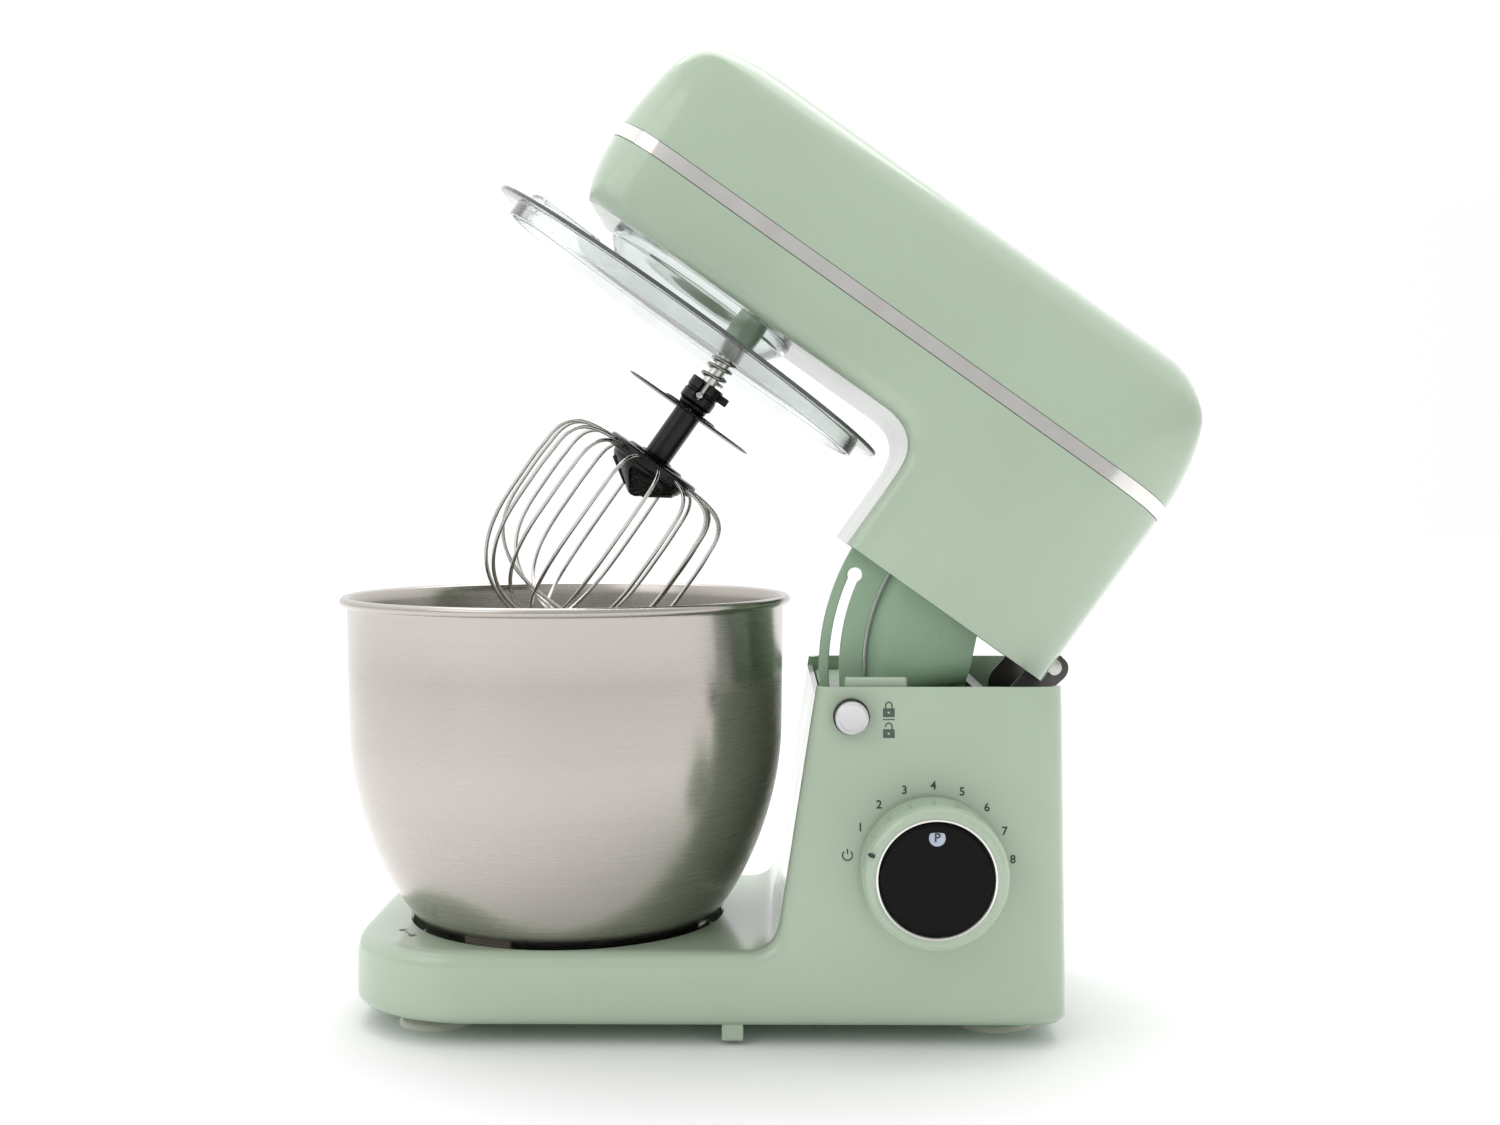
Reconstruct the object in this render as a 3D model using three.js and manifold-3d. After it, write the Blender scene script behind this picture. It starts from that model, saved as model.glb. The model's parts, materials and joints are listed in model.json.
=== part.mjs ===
// A tilt-head stand mixer with its head locked open: base, bowl, planetary drive and whisk.
// Millimetres, +Z up. X runs from the bowl (-) to the column (+), Y from the side with the controls (-)
// to the far side (+). The origin lies on the table, under the middle of the mixer's box.
// Pieces of the head are drawn with the head closed and level, then tilted together about the hinge.
import * as THREE from "three";
import { mergeVertices } from "three/addons/utils/BufferGeometryUtils.js";
import Module from "manifold-3d";

const wasm = await Module();
wasm.setup();

// ---------------------------------------------------------------- driving dimensions
const ORIGIN_X = -2.97; // from the design's zero to the middle of the box
const TILT = THREE.MathUtils.degToRad(35.4); // head angle when locked open
const HINGE = { x: 140, z: 172 };
const WALL = 2.5; // moulded plastic
const GAP = 0.3; // between pieces that touch

const TRAY = { front: -202, rear: 143, bottom: 10, top: 44, halfWidth: 86, frontRadius: 61, rearRadius: 18 };
const COLUMN = { footX: 7, topFrontX: 24, topRearX: 140, rim: 167, fillet: 15, topHalfWidth: 78 };
const TOP_PLATE = { top: 159.5, thickness: 3, rear: 110 };
const RECESS = { x: -100, r: 78, floor: 28 };
const LIP = { inner: 74.6, bottom: 35.6, top: 38.6, gapDegrees: 44 };
const LUG_DEGREES = 24;

const HEAD = { front: -185, rear: 142, top: 326, underside: 225, neckFront: 22, neckBottom: 163, halfWidth: 70 };
const STRIP = { bottom: 257.3, top: 264.2 }; // bright band between the head's two shells
const BOWL = { x: -100, rimR: 112.7, rimTop: 205.5, wall: 1.2 };
const LID = { x: -103, r: 114, z: 206.2, skirtR: 103.8, skirtBottom: 199 };

const DRIVE = { x: -100, offset: 22, module: 2, ringTeeth: 36, planetTeeth: 14 };
const TOOL_X = DRIVE.x + DRIVE.offset;
const MOTOR = { x: 85, r: 33, bottom: 178, top: 248 };
const BELT_Z = [263, 271];
const PULLEY = { large: 40, small: 8 };

const QUADRANT = { outer: 114, inner: 93, slot: 106.7, slotWidth: 5, y: -40, thickness: 6 };
const GUARD = { outer: 92, inner: 40, halfWidth: 48 };
const BUTTON = { x: 39.8, z: 153.5, r: 7.7, face: -89, back: -76 };
const LOCK_PIN = { x: 35.1, z: 152.6, r: 2.2 }; // on the slot's middle line, off the button's middle
const KNOB = { x: 76.8, z: 84, r: 33.5, back: -86.2, front: -110 };
const FEET = { x: [-159, 111], y: 44, r: 18.5, height: 9.7 };

const WHISK = { loops: 8, wireR: 0.95, r: 51, widest: 95, tip: 36.8, nesting: 2.15, hubR: 25.5 };

// ---------------------------------------------------------------- materials
const finish = (color, roughness, metalness = 0, extra = {}) =>
  new THREE.MeshStandardMaterial({ color, roughness, metalness, ...extra });
const MATERIAL = {
  mint: finish(0xb5ccb4, 0.25),
  mintDark: finish(0x8fb596, 0.35),
  steel: finish(0xb9b6b2, 0.35, 1),
  chrome: finish(0xd9d9d9, 0.12, 1),
  darkSteel: finish(0x4b4a48, 0.45, 1),
  black: finish(0x161616, 0.35),
  gloss: finish(0x0c0c0d, 0.06),
  silver: finish(0xd7d7d9, 0.3, 0.4),
  clear: finish(0xe8eeee, 0.08, 0, { transparent: true, opacity: 0.35 }),
  milky: finish(0xd6d4cf, 0.3, 0, { transparent: true, opacity: 0.7 }),
  rubber: finish(0x2a2a2a, 0.8),
  nylon: finish(0xe8e4d8, 0.5),
  copper: finish(0xa86b3c, 0.4, 0.8),
  board: finish(0x2c5a3a, 0.6),
};

// ---------------------------------------------------------------- solids
// A closed geometry as a manifold solid.
function solid(geometry) {
  const bare = geometry.index ? geometry.toNonIndexed() : geometry.clone();
  bare.deleteAttribute("normal");
  bare.deleteAttribute("uv");
  const merged = mergeVertices(bare, 1e-4);
  const kept = [];
  const index = merged.index.array;
  for (let i = 0; i < index.length; i += 3) {
    const [a, b, c] = [index[i], index[i + 1], index[i + 2]];
    if (a !== b && b !== c && a !== c) kept.push(a, b, c);
  }
  const vertProperties = merged.attributes.position.array;
  return new wasm.Manifold(new wasm.Mesh({ numProp: 3, vertProperties, triVerts: new Uint32Array(kept) }));
}

// A manifold solid as a geometry with flat faces.
function geometryOf(body) {
  const mesh = body.getMesh();
  const indexed = new THREE.BufferGeometry();
  indexed.setAttribute("position", new THREE.BufferAttribute(mesh.vertProperties, 3));
  indexed.setIndex(new THREE.BufferAttribute(mesh.triVerts, 1));
  const flat = indexed.toNonIndexed();
  flat.computeVertexNormals();
  return flat;
}

const join = (...bodies) => bodies.reduce((a, b) => a.add(b));
const cut = (body, ...tools) => tools.reduce((a, b) => a.subtract(b), body);

// ---------------------------------------------------------------- shape helpers
const box = (x0, x1, y0, y1, z0, z1) =>
  new THREE.BoxGeometry(x1 - x0, y1 - y0, z1 - z0).translate((x0 + x1) / 2, (y0 + y1) / 2, (z0 + z1) / 2);
const block = (...limits) => solid(box(...limits));

// An outline in X and Z, swept from y0 to y1.
const alongY = (shape, y0, y1, curveSegments = 5) =>
  new THREE.ExtrudeGeometry(shape, { depth: y1 - y0, bevelEnabled: false, curveSegments })
    .rotateX(Math.PI / 2)
    .translate(0, y1, 0);

// An outline in X and Y, swept from z0 to z1.
const alongZ = (shape, z0, z1, curveSegments = 5, steps = 1) =>
  new THREE.ExtrudeGeometry(shape, { depth: z1 - z0, bevelEnabled: false, curveSegments, steps }).translate(0, 0, z0);

// An outline in Y and Z, swept from x0 to x1.
const alongX = (shape, x0, x1, curveSegments = 5) =>
  new THREE.ExtrudeGeometry(shape, { depth: x1 - x0, bevelEnabled: false, curveSegments })
    .rotateX(Math.PI / 2)
    .rotateZ(Math.PI / 2)
    .translate(x0, 0, 0);

// A solid of revolution about a vertical axis at (x, y), from a closed outline of [radius, z] points.
function turned(outline, { x = 0, y = 0, sides = 28 } = {}) {
  const points = [...outline, outline[0]].map(([r, z]) => new THREE.Vector2(r, z));
  const area = points.slice(1).reduce((sum, b, i) => sum + points[i].cross(b), 0);
  if (area < 0) points.reverse();
  return new THREE.LatheGeometry(points, sides).rotateX(Math.PI / 2).translate(x, y, 0);
}

const rod = (r, z0, z1, place = {}) => turned([[0, z0], [r, z0], [r, z1], [0, z1]], { sides: 16, ...place });
const ring = (rIn, rOut, z0, z1, place = {}) => turned([[rIn, z0], [rOut, z0], [rOut, z1], [rIn, z1]], place);

// A vertical turning laid over so that its axis runs along Y through (x, z). Heights become y.
const onY = (geometry, x, z) => geometry.rotateX(-Math.PI / 2).translate(x, 0, z);

// A rounded rectangle in plan, with one radius at its low-x end and another at its high-x end.
function planOutline(x0, x1, halfWidth, frontRadius, rearRadius) {
  const shape = new THREE.Shape();
  const quarter = Math.PI / 2;
  shape.absarc(x1 - rearRadius, halfWidth - rearRadius, rearRadius, 0, quarter, false);
  shape.absarc(x0 + frontRadius, halfWidth - frontRadius, frontRadius, quarter, 2 * quarter, false);
  shape.absarc(x0 + frontRadius, frontRadius - halfWidth, frontRadius, 2 * quarter, 3 * quarter, false);
  shape.absarc(x1 - rearRadius, rearRadius - halfWidth, rearRadius, 3 * quarter, 4 * quarter, false);
  return shape;
}

// A sector of a ring between two radii, as an outline about (cx, cy). Angles in degrees.
function ringSector(cx, cy, inner, outer, from, to) {
  const [a, b] = [from, to].map(THREE.MathUtils.degToRad);
  const shape = new THREE.Shape();
  shape.absarc(cx, cy, outer, a, b, false);
  shape.absarc(cx, cy, inner, b, a, true);
  return shape;
}

// A round wire along a curve.
function wire(curve, radius, steps, sides = 6) {
  const section = new THREE.Shape();
  section.absarc(0, 0, radius, 0, 2 * Math.PI, false);
  const options = { steps, curveSegments: sides / 2, extrudePath: curve, bevelEnabled: false };
  return new THREE.ExtrudeGeometry(section, options);
}

// A coil about a vertical axis at x, from z0 to z1.
class Coil extends THREE.Curve {
  constructor(x, r, z0, z1, turns) {
    super();
    Object.assign(this, { x, r, z0, z1, turns });
  }
  getPoint(t, target = new THREE.Vector3()) {
    const angle = 2 * Math.PI * this.turns * t;
    const z = THREE.MathUtils.lerp(this.z0, this.z1, t);
    return target.set(this.x + this.r * Math.cos(angle), this.r * Math.sin(angle), z);
  }
}

// A gear's outline: straight-flanked teeth with room to run, the first one or its space on +X.
function gearOutline({ teeth, root, tip, pitch, thickness, phase = 0 }) {
  const points = [];
  const half = thickness / 2 / pitch;
  for (let i = 0; i < teeth; i++) {
    const middle = phase + (2 * Math.PI * i) / teeth;
    const corners = [[root, -1.35], [tip, -0.55], [tip, 0.55], [root, 1.35]];
    for (const [r, share] of corners) {
      const angle = middle + share * half;
      points.push(new THREE.Vector2(r * Math.cos(angle), r * Math.sin(angle)));
    }
  }
  return points;
}

// ---------------------------------------------------------------- the scene
const mixer = new THREE.Group();
mixer.position.x = -ORIGIN_X;
const head = new THREE.Group();
head.position.set(HINGE.x, 0, HINGE.z);
head.rotation.y = TILT;
const closed = new THREE.Group(); // holds the head's pieces as they stand with the head closed
closed.position.set(-HINGE.x, 0, -HINGE.z);
head.add(closed);
mixer.add(head);

function piece(name, group, material, geometry) {
  const mesh = new THREE.Mesh(geometry.isBufferGeometry ? geometry : geometryOf(geometry), MATERIAL[material]);
  mesh.name = name;
  group.add(mesh);
  return mesh;
}

// ---------------------------------------------------------------- base and column
// The tray and column seen from the side. The inner form runs out at the top and bottom.
function baseSide(inset) {
  const { front, rear, top } = TRAY;
  const bottom = inset ? 0 : TRAY.bottom;
  const rim = inset ? 200 : COLUMN.rim;
  const fillet = COLUMN.fillet + inset;
  const shape = new THREE.Shape();
  shape.moveTo(front + 6 + inset, bottom);
  shape.lineTo(rear - inset, bottom);
  shape.lineTo(COLUMN.topRearX - inset, rim);
  shape.lineTo(COLUMN.topFrontX + inset, rim);
  shape.lineTo(COLUMN.footX + inset, top - inset + fillet);
  shape.quadraticCurveTo(COLUMN.footX + inset - 2, top - inset, COLUMN.footX + inset - fillet, top - inset);
  shape.lineTo(front + 10, top - inset);
  shape.quadraticCurveTo(front + inset, top - inset, front + inset, top - 12);
  shape.lineTo(front + inset, bottom + 10);
  shape.quadraticCurveTo(front + inset, bottom, front + 6 + inset, bottom);
  return shape;
}

// The base's form in the round: its side view, its plan, and sides that lean in towards the column's top.
function baseForm(inset) {
  const { front, rear, halfWidth, frontRadius, rearRadius } = TRAY;
  const plan = planOutline(front + inset, rear - inset, halfWidth - inset, frontRadius - inset, rearRadius - inset);
  const prism = alongZ(plan, TRAY.top - 160, TRAY.top + 160, 7, 2);
  const place = prism.attributes.position;
  const lean = (TRAY.halfWidth - COLUMN.topHalfWidth) / (COLUMN.rim - TRAY.top);
  for (let i = 0; i < place.count; i++) {
    const above = Math.max(0, place.getZ(i) - TRAY.top);
    place.setY(i, place.getY(i) * (1 - (lean * above) / halfWidth));
  }
  return solid(alongY(baseSide(inset), -100, 100)).intersect(solid(prism));
}

function baseHousing() {
  const { x, r, floor } = RECESS;
  const well = solid(rod(r + WALL, floor - WALL, 60, { x, sides: 36 }));
  const recess = solid(rod(r, floor, 60, { x, sides: 36 }));
  const hollow = baseForm(WALL).subtract(well);
  const frontNotch = block(0, 32, -71, 71, 162.3, 170);
  const rearNotch = block(125, 160, -71, 71, 157, 170);
  const buttonHole = solid(onY(rod(8.4, -90, -60), BUTTON.x, BUTTON.z));
  const shaftHole = solid(onY(rod(6.5, -90, -60), KNOB.x, KNOB.z));
  const cordHole = solid(rod(6.3, 130, 150).rotateY(Math.PI / 2).translate(0, 40, 30));
  const body = cut(baseForm(0), hollow, recess, frontNotch, rearNotch, buttonHole, shaftHole, cordHole);
  const lips = [0, 1, 2].map((i) => {
    const start = 120 * i + LIP.gapDegrees / 2;
    const outline = ringSector(x, 0, LIP.inner, r + 0.8, start, start + 120 - LIP.gapDegrees);
    return solid(alongZ(outline, LIP.bottom, LIP.top, 4));
  });
  return join(body, ...lips);
}

// The floor plate that closes the base, let into its bottom edge.
function basePlate() {
  const { front, rear, halfWidth, frontRadius, rearRadius } = TRAY;
  const edge = WALL + GAP + 1.2;
  const outline = planOutline(front + 4 + edge, rear - edge, halfWidth - edge, frontRadius - edge, rearRadius - edge);
  return alongZ(outline, 10, 12.5);
}

// The plate let into the column's top: a slot for the quadrant, an opening for the guard, a small rib.
function columnTopPlate() {
  const { top, thickness, rear } = TOP_PLATE;
  const plate = block(27.2, rear, -74.5, 74.5, top - thickness, top);
  const rib = block(37, 66, -73.5, -70.5, top - 1, top + 11.5);
  const guardWay = block(47.4, 104, -GUARD.halfWidth - 2, GUARD.halfWidth + 2, 100, 200);
  const quadrantWay = block(20, 48, QUADRANT.y - 4.5, QUADRANT.y + 4.5, 100, 200);
  const buttonWay = solid(onY(rod(9.4, -80, -45.5), BUTTON.x, BUTTON.z));
  return cut(join(plate, rib), guardWay, quadrantWay, buttonWay);
}

const suctionFoot = (x, y) =>
  turned([[0, 3.5], [12, 2.2], [15, 0], [FEET.r, 0], [17, 3], [9, 5.5], [8, FEET.height], [0, FEET.height]], {
    x,
    y,
    sides: 16,
  });

function base() {
  piece("base_housing", mixer, "mint", baseHousing());
  piece("base_plate", mixer, "mintDark", basePlate());
  piece("column_top_plate", mixer, "mintDark", columnTopPlate());
  let count = 0;
  for (const x of FEET.x)
    for (const side of [-1, 1]) piece("suction_foot_" + ++count, mixer, "milky", suctionFoot(x, side * FEET.y));
  piece("cable_clip", mixer, "mint", box(-20, -10, -82, -78, 2.5, 9.7));
  const gland = turned([[2.8, 134], [9, 134], [9, 138.5], [6, 138.5], [6, 146], [4.5, 152], [2.8, 152]], { sides: 20 });
  piece("cord_gland", mixer, "rubber", gland.rotateY(Math.PI / 2).translate(0, 40, 30));
}

// ---------------------------------------------------------------- hinge
// A steel fork screwed down inside the column; its two ears carry the hinge pin.
function hingeBracket() {
  const ear = new THREE.Shape([
    new THREE.Vector2(118, 150),
    new THREE.Vector2(136.8, 150),
    new THREE.Vector2(136.8, 159),
    new THREE.Vector2(146.6, 168.3),
    new THREE.Vector2(135, 177.6),
    new THREE.Vector2(118, 161),
  ]);
  const bore = solid(onY(rod(4.3, -60, 60), HINGE.x, HINGE.z));
  const ears = [-37, 34].map((y) =>
    join(solid(alongY(ear, y, y + 3)), solid(onY(rod(7.5, y, y + 3), HINGE.x, HINGE.z))),
  );
  return cut(join(block(113, 136.8, -37, 37, 147, 150.5), ...ears), bore);
}

// The casting that turns on the pin, between the ears, and carries the head.
function tiltKnuckle() {
  const arm = new THREE.Shape();
  arm.moveTo(132.5, 172);
  arm.lineTo(147.3, 173.5);
  arm.lineTo(146, 176.5);
  arm.lineTo(138.6, 186);
  arm.lineTo(138.6, 212);
  arm.lineTo(119, 212);
  arm.lineTo(119, 200);
  const bore = solid(onY(rod(4.3, -60, 60), HINGE.x, HINGE.z));
  return cut(join(solid(alongY(arm, -13, 13)), solid(onY(rod(7.5, -13, 13), HINGE.x, HINGE.z))), bore);
}

function hinge() {
  piece("hinge_bracket", mixer, "darkSteel", hingeBracket());
  piece("hinge_pin", mixer, "steel", onY(rod(4, -38.2, 38.2), HINGE.x, HINGE.z));
  const coil = wire(new Coil(0, 6, -31, -16, 5), 1.1, 45, 4);
  piece("hinge_spring", mixer, "darkSteel", onY(coil, HINGE.x, HINGE.z));
  piece("tilt_knuckle", closed, "steel", tiltKnuckle());
}

// ---------------------------------------------------------------- controls
function releaseButton() {
  const { x, z, r, face, back } = BUTTON;
  const cap = turned([[0, face], [r - 1, face], [r, face + 1], [r, back], [0, back]], { sides: 28 });
  piece("release_button", mixer, "silver", onY(cap, x, z));
  const head = solid(onY(rod(7.2, back + GAP, back + 3), x, z));
  const shank = solid(onY(rod(LOCK_PIN.r, back + 2, -33), LOCK_PIN.x, LOCK_PIN.z));
  piece("lock_pin", mixer, "steel", join(head, shank));
  const coil = wire(new Coil(0, 3.6, back + 4, back + 16, 4), 0.6, 32, 4);
  piece("button_spring", mixer, "darkSteel", onY(coil, LOCK_PIN.x, LOCK_PIN.z));
}

function speedKnob() {
  const { x, z, r, back, front } = KNOB;
  const dial = turned(
    [[5.3, back], [r, back], [r - 0.4, back - 15], [r - 2, front + 1.5], [r - 4, front], [26.3, front]]
      .concat([[26.3, front + 6], [3.1, front + 6], [3.1, back - 12], [5.3, back - 12]]),
    { sides: 32 },
  );
  piece("speed_knob", mixer, "mint", onY(dial, x, z));
  piece("knob_shaft", mixer, "nylon", onY(ring(3.1, 5, back - 11.7, -63, { sides: 20 }), x, z));
  const cap = [[0, front + 1], [25, front + 1], [25.7, front + 1.6], [25.7, front + 3.4]];
  const stem = [[2.5, front + 3.4], [2.5, -64], [0, -64]];
  piece("pulse_button", mixer, "gloss", onY(turned(cap.concat(stem), { sides: 28 }), x, z));
}

function controls() {
  releaseButton();
  speedKnob();
  const { x, z } = KNOB;
  const board = cut(block(48, 122, -61.6, -60, 55, 128), solid(onY(rod(7, -70, -50), x, z)));
  piece("control_board", mixer, "board", board);
  piece("speed_switch", mixer, "black", box(x - 13, x + 13, -59.6, -52, z - 13, z + 13));
}

// ---------------------------------------------------------------- bowl
// The bowl's outside from the middle of its floor to the rim: radius and height.
const BOWL_OUTSIDE = [
  [0, 31.8],
  [52, 32],
  [62, 34],
  [68, 38],
  [73, 44],
  [80.5, 52],
  [91.9, 67],
  [98.7, 82],
  [103.8, 97],
  [107, 117],
  [108.7, 135],
  [108.9, 200],
];

function bowlShell() {
  const { rimR, rimTop, wall } = BOWL;
  const bead = [[rimR - 1, 200.6], [rimR, 202.8], [rimR - 0.8, 205], [rimR - 2.6, rimTop], [108.9 - wall, 204.4]];
  const inside = BOWL_OUTSIDE.slice(0, -1)
    .map(([r, z]) => (r > 60 ? [r - wall * 0.9, z + wall * 0.6] : [r, z + wall]))
    .reverse();
  return turned([...BOWL_OUTSIDE, ...bead, ...inside], { x: BOWL.x, sides: 36 });
}

function bowlFoot() {
  const x = BOWL.x;
  const skirt = solid(turned([[67.3, 29.8], [72, 29.8], [72, 42.2], [67.3, 36.8]], { x, sides: 32 }));
  const lugs = [0, 1, 2].map((i) => {
    const middle = 120 * i;
    const outline = ringSector(x, 0, 70, 76.6, middle - LUG_DEGREES / 2, middle + LUG_DEGREES / 2);
    return solid(alongZ(outline, 30.6, 34, 2));
  });
  return join(skirt, ...lugs);
}

function bowl() {
  piece("seat_ring", mixer, "rubber", ring(62, 76.5, 28.3, 29.5, { x: BOWL.x, sides: 32 }));
  piece("bowl_shell", mixer, "steel", bowlShell());
  piece("bowl_foot", mixer, "steel", bowlFoot());
}

// ---------------------------------------------------------------- head shells
// The head and neck seen from the side.
function headSide(inset) {
  const { front, rear, top, underside, neckFront, neckBottom } = HEAD;
  const [f, b, t, u] = [front + inset, rear - inset, top - inset, underside + inset];
  const [n, low] = [neckFront + inset, neckBottom + inset];
  const shape = new THREE.Shape();
  shape.moveTo(n, low);
  shape.lineTo(b - 6, low);
  shape.quadraticCurveTo(b, low, b, low + 7);
  shape.lineTo(b, 256);
  shape.bezierCurveTo(b, 288, 122, t, 96, t);
  shape.lineTo(-128, t);
  shape.bezierCurveTo(-158, t, f + 8, 316, f + 4, 290);
  shape.quadraticCurveTo(f, 272, f, 261);
  shape.quadraticCurveTo(f + 1, 242, f + 12, u);
  shape.lineTo(n - 22, u);
  shape.quadraticCurveTo(n, u, n, u - 22);
  return shape;
}

// The head seen from its end: flat sides with rounded shoulders.
function headEnd(inset) {
  const w = HEAD.halfWidth - inset;
  const top = HEAD.top - inset;
  const shape = new THREE.Shape();
  shape.moveTo(-w + 2, HEAD.neckBottom);
  shape.lineTo(w - 2, HEAD.neckBottom);
  shape.lineTo(w, 240);
  shape.lineTo(w, 285);
  shape.bezierCurveTo(w, 308, 50, top, 24, top);
  shape.lineTo(-24, top);
  shape.bezierCurveTo(-50, top, -w, 308, -w, 285);
  shape.lineTo(-w, 240);
  return shape;
}

function headForm(inset) {
  const { front, rear, halfWidth } = HEAD;
  const plan = planOutline(front + inset, rear - inset, halfWidth - inset, 44 - inset, 40 - inset);
  return solid(alongY(headSide(inset), -90, 90))
    .intersect(solid(alongX(headEnd(inset), -200, 200)))
    .intersect(solid(alongZ(plan, 150, 340)));
}

function headShells() {
  const shell = headForm(0).subtract(headForm(WALL));
  const upper = shell.intersect(block(-200, 200, -90, 90, STRIP.top + GAP, 340));
  const band = shell.intersect(block(-200, 200, -90, 90, STRIP.bottom, STRIP.top));
  const driveHole = solid(rod(39.5, 215, 232, { x: DRIVE.x, sides: 32 }));
  const guardHole = block(26.2, 103, -GUARD.halfWidth - 2.5, GUARD.halfWidth + 2.5, 160, 168);
  const hingeHole = block(112, 155, -38.5, 38.5, 160, 166.6);
  const barrelNotch = block(134, 155, -38.5, 38.5, 160, 187);
  const lower = cut(
    shell.intersect(block(-200, 200, -90, 90, 150, STRIP.bottom - GAP)),
    driveHole,
    guardHole,
    hingeHole,
    barrelNotch,
  );
  piece("head_upper_shell", closed, "mint", upper);
  piece("trim_strip", closed, "chrome", band);
  piece("head_lower_shell", closed, "mint", lower);
}

// ---------------------------------------------------------------- tilt lock
// The fin that the lock pin runs through: a curved slot about the hinge with a round keyhole at its top end.
function tiltQuadrant() {
  const { outer, inner, slot, slotWidth, y, thickness } = QUADRANT;
  const fin = ringSector(HINGE.x, HINGE.z, inner, outer, 180.5, 232);
  const way = ringSector(HINGE.x, HINGE.z, slot - slotWidth / 2, slot + slotWidth / 2, 190.4, 225.9);
  const y0 = y - thickness / 2;
  const holeAt = (degrees, r) => {
    const a = THREE.MathUtils.degToRad(degrees);
    return solid(onY(rod(r, -60, -20), HINGE.x + slot * Math.cos(a), HINGE.z + slot * Math.sin(a)));
  };
  const slotEnds = [holeAt(190.4, 3.6), holeAt(225.9, slotWidth / 2)];
  return cut(solid(alongY(fin, y0, y0 + thickness, 7)), solid(alongY(way, -60, -20, 7)), ...slotEnds);
}

// The hollow curved guard that keeps fingers and the wiring apart as the head tilts.
function swivelGuard() {
  const { outer, inner, halfWidth } = GUARD;
  const sector = (grow, from, to) =>
    ringSector(HINGE.x, HINGE.z, inner + grow, outer - grow, from, to);
  const outside = solid(alongY(sector(0, 183.5, 226), -halfWidth, halfWidth, 7));
  const inside = solid(alongY(sector(WALL, 185.5, 235), WALL - halfWidth, halfWidth - WALL, 7));
  return cut(outside, inside);
}

// ---------------------------------------------------------------- splash lid
function splashLid() {
  const { x, r, z, skirtR, skirtBottom } = LID;
  const flange = [[34, z], [skirtR - 2, z], [skirtR - 2, skirtBottom], [skirtR, skirtBottom], [skirtR, z]];
  const edge = [[r - 0.6, z], [r, z + 0.9], [r - 0.6, z + 1.8], [34, z + 1.8]];
  const plate = solid(turned([...flange, ...edge], { x, sides: 36 }));
  const chute = solid(alongZ(ringSector(x, 0, 66, 98, 150, 210), z - 3, z + 5, 5));
  return cut(plate, chute);
}

// The flared clear collar that holds the lid up against the head.
const lidCollar = () =>
  turned([[41.5, 208.4], [43.5, 208.4], [46, 214], [53, 222], [53, 224.6], [51.2, 224.6], [44, 215]], {
    x: -108,
    sides: 32,
  });

// ---------------------------------------------------------------- drive
function motor() {
  const { x, r, bottom, top } = MOTOR;
  const can = [[4.6, bottom], [r, bottom], [r, top], [r - 3, top], [r - 3, bottom + 3], [4.6, bottom + 3]];
  piece("motor_can", closed, "darkSteel", turned(can, { x, sides: 32 }));
  piece("motor_shaft", closed, "steel", rod(4, 170, 273, { x, sides: 16 }));
  piece("motor_rotor", closed, "copper", ring(4.3, 26, 187, 240, { x, sides: 28 }));
  piece("small_pulley", closed, "black", ring(4.3, PULLEY.small, BELT_Z[0] - 1, BELT_Z[1] + 1, { x, sides: 20 }));
  const blades = [];
  for (let i = 0; i < 7; i++)
    blades.push(solid(box(7, 27, -1, 1, 170.5, 175).rotateZ((2 * Math.PI * i) / 7).translate(x, 0, 0)));
  const hub = solid(ring(4.3, 8, 170.5, 176, { x, sides: 20 }));
  piece("cooling_fan", closed, "nylon", join(hub, ...blades));
}

// The plate that carries motor and gearbox, let into the lower shell.
function chassis() {
  const plate = alongZ(planOutline(-158, 128, 56, 20, 12), 249.3, 252.3, 5);
  const holes = [[DRIVE.x, 11.4], [MOTOR.x, 6]].map(([x, r]) => solid(rod(r, 240, 260, { x })));
  piece("head_chassis", closed, "darkSteel", cut(solid(plate), ...holes));
  piece("spindle_bearing", closed, "steel", ring(4.3, 11, 249.3, 252.3, { x: DRIVE.x, sides: 24 }));
}

function driveBelt() {
  const loop = (grow) => {
    const shape = new THREE.Shape();
    const [big, small] = [PULLEY.large + grow, PULLEY.small + grow];
    const lean = Math.asin((big - small) / (MOTOR.x - DRIVE.x));
    const quarter = Math.PI / 2;
    shape.absarc(MOTOR.x, 0, small, lean - quarter, quarter - lean, false);
    shape.absarc(DRIVE.x, 0, big, quarter - lean, 3 * quarter + lean, false);
    return shape;
  };
  const [z0, z1] = BELT_Z;
  const belt = cut(solid(alongZ(loop(1.9), z0, z1, 8)), solid(alongZ(loop(0.4), z0 - 1, z1 + 1, 8)));
  piece("drive_belt", closed, "rubber", belt);
}

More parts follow.
